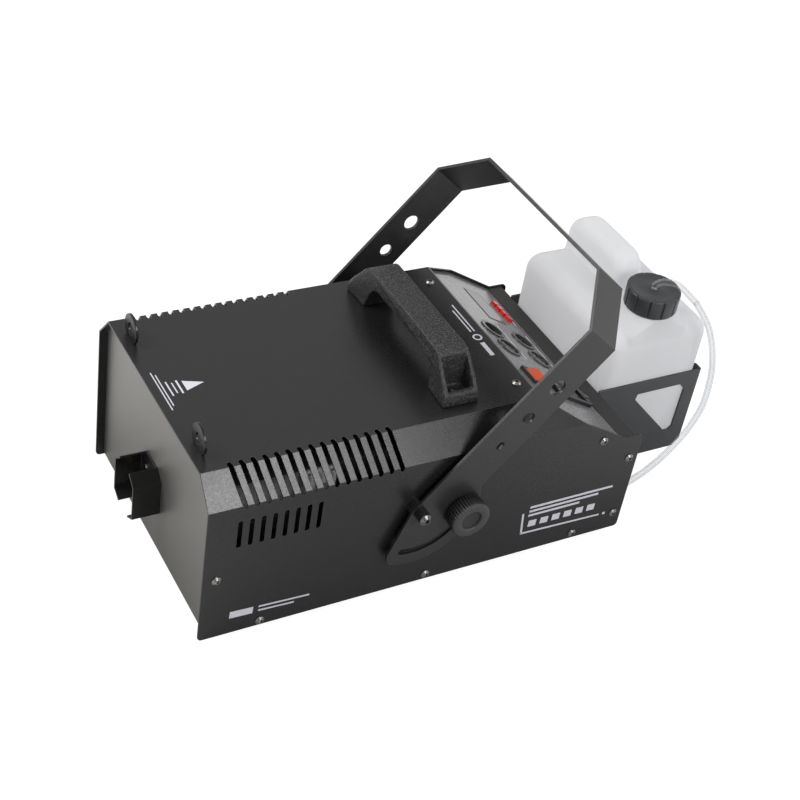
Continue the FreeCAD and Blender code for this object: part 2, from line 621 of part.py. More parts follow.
def terminal_block():
    outer_x = 110.5
    block = fillet(box(SHIELD_X, outer_x, 90.0, 118.0, 124.0, 143.0), 0.8,
                   lambda e: near(e.BoundBox.XLength) and near(e.BoundBox.XMin, outer_x))
    for i in range(4):
        y = 93.6 + 7.0 * i
        block = block.cut(cyl_z(2.0, 4.0, 107.3, y, 139.5))
        block = block.cut(cyl_x(1.5, 5.0, 106.0, y, 131.0))
    return block


keep("heat_shield", heat_shield())
keep("terminal_block", terminal_block())

# ---------------------------------------------------------------- pump
PUMP_X, PUMP_Y = 66.0, 330.0
PUMP_Z0, PUMP_Z1 = 22.0, 84.0
PORT_Z = PUMP_Z0 - 1           # axis of the rear inlet port
PISTON_Z0, PISTON_Z1 = PUMP_Z0 + 8.0, PUMP_Z0 + 36.0


def pump_cyl(radius, z0, z1):
    return cyl_z(radius, z1 - z0, PUMP_X, PUMP_Y, z0)


def pump_body():
    body = fuse([box(PUMP_X - 19, PUMP_X + 19, PUMP_Y - 21, PUMP_Y + 21,
                     PUMP_Z0 + 10, PUMP_Z1 - 12),
                 pump_cyl(11.0, PUMP_Z0 - 6, PUMP_Z1 + 4),
                 pump_cyl(5.0, PUMP_Z1 + 4, PUMP_Z1 + 12),
                 cyl_y(4.0, 26.0, PUMP_X, PUMP_Y + 8, PORT_Z)])
    body = body.cut(pump_cyl(6.0, PUMP_Z0 + 4, PUMP_Z1))
    body = body.cut(pump_cyl(1.6, PUMP_Z0 - 1, PUMP_Z1 + 30))
    return body.cut(cyl_y(1.6, 60.0, PUMP_X, PUMP_Y, PORT_Z))


def pump_spring():
    helix = Part.makeHelix(3.2, PUMP_Z1 - PISTON_Z1 - 1.3, 4.5)
    helix.Placement = FreeCAD.Placement(Vec(PUMP_X, PUMP_Y, PISTON_Z1 + 0.65),
                                        FreeCAD.Rotation(RIGHT, 0))
    path = Part.Wire(helix.Edges)
    first = path.Edges[0]
    start = first.valueAt(first.FirstParameter)
    start_dir = first.tangentAt(first.FirstParameter)
    return path.makePipeShell([Part.Wire([Part.makeCircle(0.6, start, start_dir)])], True, True)


def pump_bracket():
    ys = (PUMP_Y - 16, PUMP_Y + 16)
    return fuse([box(PUMP_X - 26, PUMP_X + 26, *ys, FLOOR_Z, FLOOR_Z + 1.6),
                 box(PUMP_X - 20.6, PUMP_X - 19.0, *ys, FLOOR_Z, 60.0),
                 box(PUMP_X + 19.0, PUMP_X + 20.6, *ys, FLOOR_Z, 60.0)])


pump = pump_body()
keep("pump_body", pump)
keep("pump_piston", pump_cyl(5.94, PISTON_Z0, PISTON_Z1).cut(pump_cyl(1.5, 0, 100)))
keep("pump_spring", pump_spring())
keep("pump_bracket", pump_bracket())

# ---------------------------------------------------------------- bottle sizes, used by the hose
BOTTLE_GAP = CRADLE_T + 0.3    # cradle's outer face to the bottle
BOTTLE_X0, BOTTLE_X1 = CRADLE_X0 + BOTTLE_GAP, CRADLE_X1 - BOTTLE_GAP
BOTTLE_Y0, BOTTLE_Y1 = 423.2, 539.0
BOTTLE_Z0, BOTTLE_Z1 = CRADLE_Z0 + CRADLE_T + 0.02, 172.5
CAP_X, CAP_Y = 33.0, 476.0
CAP_R = 25.8
CAP_Z0, CAP_Z1 = 184.5, 204.5
NECK_Z = 200.0
NECK_R = 19.0

# ---------------------------------------------------------------- pipework
OUTLET_PATH = [
    (PUMP_X, PUMP_Y, PUMP_Z1 + 12), (PUMP_X - 1, PUMP_Y - 2, PUMP_Z1 + 21),
    (PUMP_X - 10, PUMP_Y - 16, PUMP_Z1 + 27), (PUMP_X - 30, PUMP_Y - 50, PUMP_Z1 + 14),
    (NOZZLE_X + 10, HEATER_Y1 + 34, NOZZLE_Z + 7), (NOZZLE_X + 1.5, HEATER_Y1 + 13, NOZZLE_Z + 0.6),
    (NOZZLE_X, HEATER_Y1, NOZZLE_Z)]
SUCTION_PATH = [
    (PUMP_X, PUMP_Y + 34, PORT_Z), (PUMP_X, PUMP_Y + 38, PORT_Z),
    (PUMP_X + 12, PUMP_Y + 50, PORT_Z), (HOSE_X - 6, REAR_Y - 32, HOSE_Z),
    (HOSE_X, REAR_Y - 23, HOSE_Z), (HOSE_X, REAR_Y - 20, HOSE_Z)]
# from the bottle cap, over and down to the fitting in the rear wall
FLUID_PATH = [
    (CAP_X, CAP_Y, CAP_Z1 - 1.4), (CAP_X, CAP_Y, CAP_Z1 + 0.6),
    (CAP_X + 0.3, CAP_Y + 0.3, CAP_Z1 + 2.6),
    (38.0, 480.0, 213.0), (46, 488, 215.0), (52.0, 495.0, 210.5), (60.5, 507.0, 199.0),
    (70, 519, 179.5), (76.5, 525.5, 161.0), (85.5, 530.0, 121.0), (90.0, 526.0, 95.0),
    (93.0, 514.0, 72.0), (96.0, 497.0, 55.0), (98.0, 482.0, 43.5), (99.3, 466.0, 34.0),
    (100.0, 450.0, 27.0), (HOSE_X, 436.0, HOSE_Z), (HOSE_X, REAR_Y + 5.0, HOSE_Z)]


def hose_fitting():
    body = fuse([cyl_y(5.0, 14.0, HOSE_X, REAR_Y - 8.0, HOSE_Z),
                 hex_y(8.0, 5.0, HOSE_X, REAR_Y, HOSE_Z),
                 hex_y(8.0, 4.5, HOSE_X, REAR_Y - SHEET - 4.5, HOSE_Z),
                 cyl_y(2.6, 12.0, HOSE_X, REAR_Y + 5.0, HOSE_Z),
                 cyl_y(3.95, 14.0, HOSE_X, REAR_Y - 20.0, HOSE_Z)])
    return body.cut(cyl_y(1.6, 60, HOSE_X, REAR_Y - 30, HOSE_Z))


fitting = hose_fitting()
keep("outlet_pipe", biggest(tube(OUTLET_PATH, 2.6, 1.5).cut(pump)))
keep("hose_fitting", fitting)
keep("suction_hose", biggest(tube(SUCTION_PATH, 5.2, 3.6).cut([fitting, pump])))
keep("fluid_hose", biggest(tube(FLUID_PATH, 3.2, 2.65).cut(fitting)))


# ---------------------------------------------------------------- bottle, cap, dip tube
def cap_cyl(radius, length, z0):
    return cyl_z(radius, length, CAP_X, CAP_Y, z0)


def grip_ridge(inset):
    """ridge beside the neck, rounded at both ends and across its top"""
    top, low = 208.0 - inset, 120
    left, right = -101.0 + inset, -8.5 - inset
    left_r, right_r = 21.0 - inset, 20.0 - inset
    y0 = 465.0 + inset
    diag = math.sqrt(0.5)

    def at(x, z):
        return Vec(x, y0, z)

    left_cx, left_cz = left + left_r, top - left_r       # centres of the end rounds
    right_cx, right_cz = right - right_r, top - right_r
    outline = [
        Part.makeLine(at(left, low), at(left, left_cz)),
        Part.Arc(at(left, left_cz), at(left_cx - left_r * diag, left_cz + left_r * diag),
                 at(left_cx, top)).toShape(),
        Part.makeLine(at(left_cx, top), at(right_cx, top)),
        Part.Arc(at(right_cx, top), at(right_cx + right_r * diag, right_cz + right_r * diag),
                 at(right, right_cz)).toShape(),
        Part.makeLine(at(right, right_cz), at(right, low)),
        Part.makeLine(at(right, low), at(left, low))]
    ridge = Part.Face(Part.Wire(outline)).extrude(REAR * (34.0 - 2 * inset))
    return fillet(ridge, 11.0 - inset,
                  lambda e: near(e.BoundBox.YLength) and e.BoundBox.ZMax > low + 1)


def bottle_form(inset):
    """solid bottle, moved inwards by inset"""
    plan = (BOTTLE_X0 + inset, BOTTLE_X1 - inset, BOTTLE_Y0 + inset, BOTTLE_Y1 - inset)
    top = BOTTLE_Z1 - inset
    body = fillet(box(*plan, BOTTLE_Z0 + inset, top), 12.0 - inset, runs_z)
    body = fillet(body, 20.0 - inset,
                  lambda e: near(e.BoundBox.ZMin, top) and near(e.BoundBox.ZMax, top))
    ridge = grip_ridge(inset)
    # shoulder that rises to the neck, kept within the body's plan
    shoulder = fuse([
        Part.makeCone(40.0 - inset, 30.0 - inset, 8.0, Vec(CAP_X, CAP_Y, 169.0 - inset), UP),
        Part.makeCone(30.0 - inset, 24.6 - inset, 7.4, Vec(CAP_X, CAP_Y, 177.0 - inset), UP)])
    shoulder = shoulder.common(fillet(box(*plan, 100.0, 250.0), 12.0 - inset, runs_z))
    neck = cap_cyl(NECK_R - inset, NECK_Z - 150.0, 150.0)
    return body.fuse([ridge, shoulder, neck]).removeSplitter()


def bottle_cap():
    cap_h = CAP_Z1 - CAP_Z0
    cap = cap_cyl(CAP_R - 1.2, cap_h, CAP_Z0)
    for k in range(12):        # grip ribs
        dx, dy = polar(CAP_R - 2.3, 30 * k + 12)
        cap = cap.fuse(cyl_z(2.4, cap_h - 1.0, CAP_X + dx, CAP_Y + dy, CAP_Z0))
    cap = cap.removeSplitter()
    cap = cap.cut(cap_cyl(NECK_R + 0.05, 18.0, CAP_Z0))
    return cap.cut(cap_cyl(4.3, 60, CAP_Z0 - 10))


def pickup_filter():
    body = cap_cyl(6.0, 12.0, 24.0)
    for radius, length, z0 in ((3.0, 20, 34.0), (4.4, 6.0, 27.0), (2.1, 10.0, 30.0)):
        body = body.cut(cap_cyl(radius, length, z0))
    for k in range(8):
        outwards = Vec(*polar(1, 45 * k), 0)
        body = body.cut(Part.makeCylinder(0.9, 10, Vec(CAP_X, CAP_Y, 29.5), outwards))
    return body


keep("bottle", bottle_form(0.0).cut(bottle_form(1.8)).cut(cap_cyl(16.8, 60, 150.0)))
keep("bottle_cap", bottle_cap())
keep("cap_seal", cap_cyl(18.6, 2.45, NECK_Z + 0.05).cut(cap_cyl(3.0, 10, NECK_Z - 3)))
keep("dip_tube", cap_cyl(3.0, CAP_Z1 - 2.0 - 34.0, 34.0).cut(cap_cyl(2.1, 300, 0)))
keep("pickup_filter", pickup_filter())

# ---------------------------------------------------------------- main board
BOARD_Z0, BOARD_Z1 = 11.5, 13.1
STANDOFFS = [(x, y) for y in (270, 376) for x in (-106, -50)]
BOARD_BLOCKS = [               # x0, x1, y0, y1, top
    (-100, -80, 290, 320, 37.0), (-76, -60, 292, 306, 28.0), (-76, -60, 310, 324, 28.0),
    (-96, -86, 332, 360, 25.0), (-104, -98, 328, 366, 33.0), (-60, -52, 330, 362, 22.0)]

board = box(-112, -44, 262, 384, BOARD_Z0, BOARD_Z1)
for x, y in STANDOFFS:
    board = board.cut(cyl_z(1.6, 10, x, y, 8))
keep("main_board", board)
blocks = [box(x0, x1, y0, y1, BOARD_Z1, top) for x0, x1, y0, y1, top in BOARD_BLOCKS]
round_parts = [cyl_z(6.0, 22.0, -70, 340, BOARD_Z1), cyl_z(5.0, 16.0, -70, 358, BOARD_Z1)]
keep("board_components", *(blocks[:4] + round_parts + blocks[4:]))
keep("board_standoffs", *[fuse([cyl_z(3.0, BOARD_Z0 - FLOOR_Z, x, y, FLOOR_Z),
                                cyl_z(1.5, 4.2, x, y, BOARD_Z0),
                                cyl_z(2.8, 1.2, x, y, BOARD_Z1)]) for x, y in STANDOFFS])

# ---------------------------------------------------------------- display, buttons, their board
window = display_box(0, -1.5, 0.4).fuse(display_box(2, -2.7, -1.5)).removeSplitter()
keep("display_window", window)


def panel_board():
    parts = [panel_box(-98, -44, 46, 96, -9.6, -8.0), display_box(-2, -8.0, -2.7)]
    parts += [panel_square(x, d, 3.0, -8.0, -5.2) for x, d in BUTTONS]
    parts += [panel_cyl(1.6, 6.5, x, d, -8.0) for d in (48, 94) for x in (-96, -46)]
    return fuse(parts).cut(window)


def menu_button(x, down):
    def top_edge(edge):
        height = (edge.CenterOfMass - on_panel(0, 0)).dot(PANEL_OUT)
        return edge.Length > 0.1 and height > 2.9

    button = fillet(panel_square(x, down, 3.35, -3.4, 3.0), 0.6, top_edge)
    return button.fuse([panel_square(x, down, 3.9, -3.4, -1.6),
                        panel_square(x, down, 1.5, -4.3, -3.4)]).removeSplitter()


keep("panel_board", panel_board())
for k, (x, down) in enumerate(BUTTONS):
    keep("menu_button_%d" % (k + 1), menu_button(x, down))


# ---------------------------------------------------------------- signal sockets
def pin_places(x, down, count):
    offsets = [polar(4.6, 90 + 360.0 / count * (k + 0.5)) for k in range(count)]
    return [(x + dx, down - dd) for dx, dd in offsets]


def socket_body(x, down, bore, depth, length):
    """flanged round body, bored from depth below the panel face"""
    flange = panel_cyl(SOCKET_R + 1.4, 1.2, x, down, 0).cut(
        panel_cyl(SOCKET_R - 2.2, 3, x, down, -1))
    body = flange.fuse(panel_cyl(SOCKET_R - 0.05, 22.0, x, down, -22.0)).removeSplitter()
    return body.cut(panel_cyl(bore, length, x, down, -depth))


def female_socket(x, down, count):
    body = socket_body(x, down, SOCKET_R - 1.6, 1.8, 3.0)
    body = body.fuse(panel_cyl(SOCKET_R - 3.4, 1.4, x, down, -1.8)).removeSplitter()
    for pin_x, pin_down in pin_places(x, down, count):
        body = body.cut(panel_cyl(1.2, 14.0, pin_x, pin_down, -12.0))
    return body.cut(panel_box(x - 2.55, x + 2.55, down - 10.4, down - 7.35, -6.0, 5.0))


def latch(x, down):
    tab = panel_box(x - 2.5, x + 2.5, down - 10.3, down - 7.4, -4.0, 1.0)
    return tab.fuse(panel_box(x - 2.5, x + 2.5, down - 10.3, down - 8.6, 1.0, 2.2)).removeSplitter()


pins = []
for name, (x, down) in SOCKETS.items():
    count = 3 if "3" in name else 5
    if name.startswith("dmx_in"):
        keep(name, socket_body(x, down, SOCKET_R - 2.2, 16.8, 18.0))
        pins += [panel_cyl(1.15, 15.6, px, pd, -16.8) for px, pd in pin_places(x, down, count)]
    else:
        keep(name, female_socket(x, down, count))
        keep(name.replace("dmx_out", "latch"), latch(x, down))

# ---------------------------------------------------------------- mains inlet and fuse drawer
INLET_H = 3.4                  # rim above the panel
INLET_RIM = [(-12.0, -25.0), (12.0, -25.0), (14.0, -22.0), (14.0, 19.0), (10.0, 25.0),
             (-10.0, 25.0), (-14.0, 19.0), (-14.0, -22.0)]    # x, down, from the inlet's middle


def mains_inlet():
    inlet = prism([on_panel(INLET_X + x, INLET_D + d) for x, d in INLET_RIM],
                  PANEL_OUT * INLET_H)
    inlet = inlet.fuse(inlet_box(11.5, -18.9, 18.9, -24.0, 0)).removeSplitter()
    inlet = inlet.cut(inlet_box(9.6, -3.5, 16.6, -16.0, 5.0))
    inlet = inlet.fuse(inlet_box(6.4, 0.6, 12.4, -16.0, 1.6)).removeSplitter()
    for x, d in ((0.0, 3.2), (-4.4, 9.0), (4.4, 9.0)):
        inlet = inlet.cut(inlet_box(1.5, d - 1.3, d + 1.3, -10.0, 5.0, x=x))
    inlet = inlet.cut(inlet_box(9.05, -16.05, -6.95, -18.0, 5.0))
    for d in INLET_SCREW_D:
        inlet = inlet.cut(panel_cyl(1.55, 12, INLET_X, d, -4))
    return inlet


def fuse_drawer():
    drawer = inlet_box(9.0, -16.0, -7.0, -16.0, INLET_H + 0.4)
    for i in range(3):         # grip grooves
        groove = -14.6 + i * 2.4
        drawer = drawer.cut(inlet_box(10, groove, groove + 1.2, INLET_H - 0.4, INLET_H + 2))
    return drawer.cut(inlet_box(7.5, -17, -9.5, -14.0, -2.0))


keep("mains_inlet", mains_inlet())
keep("fuse_drawer", fuse_drawer())
blades = [inlet_box(2.2, d - 0.4, d + 0.4, -31.0, -24.0, x=x)
          for x, d in ((0, 3.2), (-6.0, 10.0), (6.0, 10.0))]
inlet_screws = [panel_cyl(1.5, 6.0, INLET_X, d, -2.6).fuse(
    panel_cyl(2.7, 1.0, INLET_X, d, INLET_H)).removeSplitter() for d in INLET_SCREW_D]

# ---------------------------------------------------------------- mains switch
ROCKER_D = (SWITCH_D0 + SWITCH_D1) / 2.0   # rocker axis, down the panel
ROCKER_OUT = -0.2              # rocker axis, above the panel face
ROCKER_TILT = math.radians(20.0)
# rocker section in its own frame: down the panel, out of it
ROCKER_OUTLINE = [(-7.2, 5.0), (7.2, 5.0), (6.4, -3.0), (0.0, -6.0), (-6.4, -3.0)]


def rocker_axle(radius, x0, length):
    return Part.makeCylinder(radius, length, on_panel(x0, ROCKER_D, ROCKER_OUT), RIGHT)


def switch_housing():
    body = switch_box(0, 0, 0, 3.2).fuse(switch_box(1.25, 1.25, -20.0, 0)).removeSplitter()
    body = body.cut(switch_box(2.4, 2.2, -13.0, 5.0))
    return body.cut(rocker_axle(1.65, SWITCH_X0 + 1.45, SWITCH_X1 - SWITCH_X0 - 2.9))


def rocker():
    x0, x1 = SWITCH_X0 + 2.46, SWITCH_X1 - 2.46
    cos, sin = math.cos(ROCKER_TILT), math.sin(ROCKER_TILT)
    body = prism([on_panel(x0, ROCKER_D + a * cos - b * sin, ROCKER_OUT + a * sin + b * cos)
                  for a, b in ROCKER_OUTLINE], RIGHT * (x1 - x0))
    return fuse([body, rocker_axle(1.6, x0 - 0.9, x1 - x0 + 1.8)])


keep("switch_housing", switch_housing())
keep("rocker", rocker())
switch_tabs = [panel_box(SWITCH_X0 + 9, SWITCH_X1 - 9, SWITCH_D0 + d, SWITCH_D0 + d + 0.8,
                         -28.0, -20.0) for d in (5.0, 16.0)]
keep("contact_pins", *(pins + blades + switch_tabs))


# ---------------------------------------------------------------- feet
def rubber_foot(x, y):
    foot = Part.makeCone(9.0, 11.0, FOOT_H + 2.0, Vec(x, y, -FOOT_H), UP)
    return foot.cut(cyl_z(4.5, 3.4, x, y, -FOOT_H)).cut(cyl_z(2.05, 20, x, y, -FOOT_H - 1))


keep("rubber_feet", *[rubber_foot(x, y) for x, y in FEET])
foot_screws = [fuse([cyl_z(4.0, 2.4, x, y, -FOOT_H + 1.0), cyl_z(2.0, 9.0, x, y, -FOOT_H + 3.4)])
               for x, y in FEET]
keep("small_screws", *(cradle_screws + cradle_nuts + handle_screws + shroud_screws
                       + inlet_screws + foot_screws))

# ---------------------------------------------------------------- yoke
ARM_IN = 130.5                 # inner face of the arms
ARM_T = 3.0                    # bar thickness
ARM_OUT = ARM_IN + ARM_T
EDGE_FRONT, EDGE_REAR = -5.8, 35.4         # bar edges, across the arm
FOLD_LOW, FOLD_HIGH = 209.4, 248.5         # folds, along the arm
TOP_HALF = 91.2                # half length of the top bar, at the inner fold
ARM_FOOT_R = 59.5              # outline radius of the arm's foot
SLOT_START, SLOT_END = -62.0, 38.0         # arc slot ends, degrees in the arm's frame
SLOT_HALF = 3.25
ARM_ALONG = Vec(0, *polar(1, 90 - TILT))
ARM_ACROSS = Vec(0, *polar(1, -TILT))


def on_arm(x, across, along):
    return Vec(x, *PIVOT) + ARM_ACROSS * across + ARM_ALONG * along


def arc(x, radius, start, end):
    """arc about the pivot, angles in degrees in the arm's frame"""
    points = [on_arm(x, *polar(radius, a)) for a in (start, (start + end) / 2, end)]
    return Part.Arc(*points).toShape()


def arm_hole(radius, across, along):
    return Part.makeCylinder(radius, 12, on_arm(ARM_IN - 4, across, along), RIGHT)


def arm_plate():
    foot_start = -68.0
    foot_end = math.degrees(math.acos(EDGE_REAR / ARM_FOOT_R))

    def at(across, along):
        return on_arm(ARM_IN, across, along)

    top_front, top_rear = at(EDGE_FRONT, FOLD_LOW), at(EDGE_REAR, FOLD_LOW)
    waist, heel = at(EDGE_FRONT, -3.0), at(10.3, -47.0)
    arc_start, arc_end = [at(*polar(ARM_FOOT_R, a)) for a in (foot_start, foot_end)]
    outline = [Part.makeLine(top_front, waist), Part.makeLine(waist, heel),
               Part.Arc(heel, at(14.4, -53.0), arc_start).toShape(),
               arc(ARM_IN, ARM_FOOT_R, foot_start, foot_end),
               Part.makeLine(arc_end, top_rear), Part.makeLine(top_rear, top_front)]
    return Part.Face(Part.Wire(outline)).extrude(RIGHT * ARM_T)


def arc_slot():
    x = ARM_IN - 4
    outer, inner = SLOT_R + SLOT_HALF, SLOT_R - SLOT_HALF

    def radial(start_r, end_r, angle):
        return Part.makeLine(on_arm(x, *polar(start_r, angle)), on_arm(x, *polar(end_r, angle)))

    outline = [arc(x, outer, SLOT_START, SLOT_END), radial(outer, inner, SLOT_END),
               arc(x, inner, SLOT_END, SLOT_START), radial(inner, outer, SLOT_START)]
    ends = [arm_hole(SLOT_HALF, *polar(SLOT_R, a)) for a in (SLOT_START, SLOT_END)]
    return [Part.Face(Part.Wire(outline)).extrude(RIGHT * 12)] + ends


def yoke_arm():
    holes = [arm_hole(3.06, 0, 0), arm_hole(7.5, 15.8, 155.4), arm_hole(6.1, 16.4, 119.8)]
    # obround hole
    mid, half, low, high = 15.6, 2.9, 84.7, 87.7
    holes += [arm_hole(half, mid, low), arm_hole(half, mid, high)]
    corners = [(mid - half, low), (mid + half, low), (mid + half, high), (mid - half, high)]
    holes.append(prism([on_arm(ARM_IN - 4, a, s) for a, s in corners], RIGHT * 12))
    return arm_plate().cut(holes).cut(arc_slot())


def bar(outline):
    """full-width bar from its section: x, distance along the arm"""
    return prism([on_arm(x, EDGE_FRONT, s) for x, s in outline],
                 ARM_ACROSS * (EDGE_REAR - EDGE_FRONT))


def yoke():
    miter = math.tan(math.radians(22.5)) * ARM_T
    arm = yoke_arm()
    top = FOLD_HIGH + ARM_T
    diagonal = bar([(ARM_IN, FOLD_LOW), (ARM_OUT, FOLD_LOW), (ARM_OUT, FOLD_LOW + miter),
                    (TOP_HALF + miter, top), (TOP_HALF, top), (TOP_HALF, FOLD_HIGH)])
    top_bar = bar([(-TOP_HALF, FOLD_HIGH), (TOP_HALF, FOLD_HIGH), (TOP_HALF, top),
                   (-TOP_HALF, top)])
    holes = [Part.makeCylinder(radius, 20, on_arm(x, 15.0, FOLD_HIGH - 8), ARM_ALONG)
             for x, radius in ((0.0, 5.3), (-40.0, 4.3), (40.0, 4.3))]
    return fuse([arm, mirrored(arm), diagonal, mirrored(diagonal), top_bar]).cut(holes)


keep("yoke", yoke())

# ---------------------------------------------------------------- pivots, clamp studs, knobs
SLEEVE_X, SLEEVE_LEN = ARM_OUT + 0.1, 10.0
WASHER_X = ARM_OUT + 0.08
KNOB_X, KNOB_LEN = 134.97, 14.4
KNOB_TEETH = 42


def ring(side, radius, length, x, place, bore_len=20):
    return side_cyl(side, radius, length, x, place).cut(side_cyl(side, 3.05, bore_len, 120, place))


def inner_nut(side, place):
    """nut against the inside of the cover"""
    nut = hexagon(Vec(side * INNER_W, *place), 5.7, REAR, UP, RIGHT * (-side * 4.6))
    return nut.cut(side_cyl(side, 3.0, 20, 110, place))


def pivot_bolt(side):
    return button_screw(Vec(side * (SLEEVE_X + SLEEVE_LEN), *PIVOT), RIGHT * side, head_r=5.7,
                        head_h=3.3, shank_r=3.0, shank_len=28.0, socket_r=2.5, socket_deep=2.4)


def washer(side):
    return side_cyl(side, 10.5, 1.36, WASHER_X, STUD).cut(side_cyl(side, 3.06, 10, 130.0, STUD))


def knob(side):
    rim = []
    for k in range(2 * KNOB_TEETH):
        dy, dz = polar(18.2 if k % 2 == 0 else 17.3, 360.0 / (2 * KNOB_TEETH) * k)
        rim.append(Vec(side * KNOB_X, STUD[0] + dy, STUD[1] + dz))
    body = prism(rim, RIGHT * (side * KNOB_LEN))
    body = body.fuse(side_cyl(side, 17.0, 0.6, KNOB_X + KNOB_LEN, STUD)).removeSplitter()
    body = body.cut(side_cyl(side, 9.2, 6, KNOB_X + 12.0, STUD))
    return body.cut(side_cyl(side, 3.06, 9.6, KNOB_X - 0.1, STUD))


bolts, spacers, studs = [], [], []
for side in SIDES:
    bolts += [pivot_bolt(side), inner_nut(side, PIVOT)]
    spacers += [ring(side, 8.0, 5.4, HALF_W, place) for place in (PIVOT, STUD)]
    studs += [side_cyl(side, 3.0, 26.0, 117.0, STUD), inner_nut(side, STUD)]
sleeves = [ring(side, 5.8, SLEEVE_LEN, SLEEVE_X, PIVOT, 30) for side in SIDES]
keep("pivot_bolts", *bolts)
keep("yoke_spacers", *(spacers + sleeves))
keep("clamp_studs", *studs)
for side, name in zip(SIDES, ("right", "left")):
    keep("washer_" + name, washer(side))
    keep("knob_" + name, knob(side))

# ---------------------------------------------------------------- wiring, all to the main board
TAB_X, TAB_D = SWITCH_X0 + 11, SWITCH_D0 + 5.4
wires = [
    # from the mains inlet
    tube([on_panel(INLET_X, INLET_D + 3.2, -31.0), on_panel(INLET_X, INLET_D + 3.2, -38.0),
          (40, 362, 70), (-10, 352, 40), (-48, 347, 26.0), (-56, 346, 21.0)], 1.6),
    # from the switch
    tube([on_panel(TAB_X, TAB_D, -28.0), on_panel(TAB_X, TAB_D, -34.0), (40, 338, 104),
          (8, 336, 78), (-38, 312, 46), (-64, 301, 33), (-68, 299, 28.0)], 1.4),
    # from the panel board
    tube([on_panel(-70, 70, -9.6), on_panel(-70, 70, -20.0), (-78, 345, 60), (-88, 342, 40),
          (-91, 345, 25.0)], 1.8)]
obstacles = [solid for name in ("contact_pins", "board_components", "panel_board", "outlet_pipe",
                                "main_board", "switch_housing", "mains_inlet")
             for solid in pieces[name]]
keep("wiring", *[biggest(wire.cut(obstacles)) for wire in wires])

# ---------------------------------------------------------------- export
for name, solids in pieces.items():
    shape = (solids[0] if len(solids) == 1 else Part.makeCompound(solids)).copy()
    shape.translate(ORIGIN_SHIFT)
    shape.exportStep("parts/%s.step" % name)
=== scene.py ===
"""Fog machine: a black sheet-metal body with a carry handle on top, a sloping control panel
and a fluid bottle at the rear, held in a yoke by a clamp knob on either side.

Sizes are millimetres of the machine's own drawing: x to the right, y from the front to the
rear, z up. at() turns them into metres of the frame, where the front faces -y and the floor
is at z = 0.
"""
import bpy
import bmesh
import math
import random
from mathutils import Vector, Matrix


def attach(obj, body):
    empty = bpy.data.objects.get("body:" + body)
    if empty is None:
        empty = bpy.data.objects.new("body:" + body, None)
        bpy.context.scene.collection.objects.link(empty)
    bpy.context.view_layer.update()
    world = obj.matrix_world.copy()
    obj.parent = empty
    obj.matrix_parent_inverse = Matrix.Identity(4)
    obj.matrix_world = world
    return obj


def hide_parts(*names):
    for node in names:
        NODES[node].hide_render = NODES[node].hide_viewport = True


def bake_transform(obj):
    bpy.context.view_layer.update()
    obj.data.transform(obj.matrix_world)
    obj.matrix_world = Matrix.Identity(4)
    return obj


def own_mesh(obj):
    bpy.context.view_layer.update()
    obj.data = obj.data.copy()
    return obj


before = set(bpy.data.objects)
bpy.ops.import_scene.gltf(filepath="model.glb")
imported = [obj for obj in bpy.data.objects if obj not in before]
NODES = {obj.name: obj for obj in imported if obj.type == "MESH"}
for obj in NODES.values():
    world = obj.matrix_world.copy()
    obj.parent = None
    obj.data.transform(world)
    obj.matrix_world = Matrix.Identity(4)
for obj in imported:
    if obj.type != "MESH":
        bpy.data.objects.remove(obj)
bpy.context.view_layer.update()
scene = bpy.context.scene
random.seed(7)

# ---------------------------------------------------------------- drawing and frame
ORIGIN_Y = 261.75         # drawing y of the frame's origin
FLOOR_Z = -6.0            # drawing z of the floor
BODY_HALF_WIDTH = 125.0
BODY_TOP = 166.9
SLOPE_START_Y = 314.0     # the sloping rear face leaves the top here
SLOPE_END_Y = 406.2
SLOPE_END_Z = 113.2
PANEL_SINK = 3.0          # the control panel lies this far under the slope

SLOPE = math.atan2(BODY_TOP - SLOPE_END_Z, SLOPE_END_Y - SLOPE_START_Y)
PANEL_NORMAL = Vector((0, math.sin(SLOPE), math.cos(SLOPE)))
PANEL_DOWN = Vector((0, math.cos(SLOPE), -math.sin(SLOPE)))


def at(x, y, z):
    """drawing millimetres to metres of the frame"""
    return Vector((x / 1000.0, (y - ORIGIN_Y) / 1000.0, (z - FLOOR_Z) / 1000.0))


def at_panel(x, down):
    """a point on the control panel, a distance down its slope"""
    offset = PANEL_DOWN * down - PANEL_NORMAL * PANEL_SINK
    return at(x, SLOPE_START_Y + offset.y, BODY_TOP + offset.z)


# ---------------------------------------------------------------- shader graphs
NOISE_SPAN = (0.3, 0.7)   # most of a noise texture's values lie in here


def grey(level):
    return (level, level, level)


def shade(color, factor):
    return tuple(min(1.0, channel * factor) for channel in color)


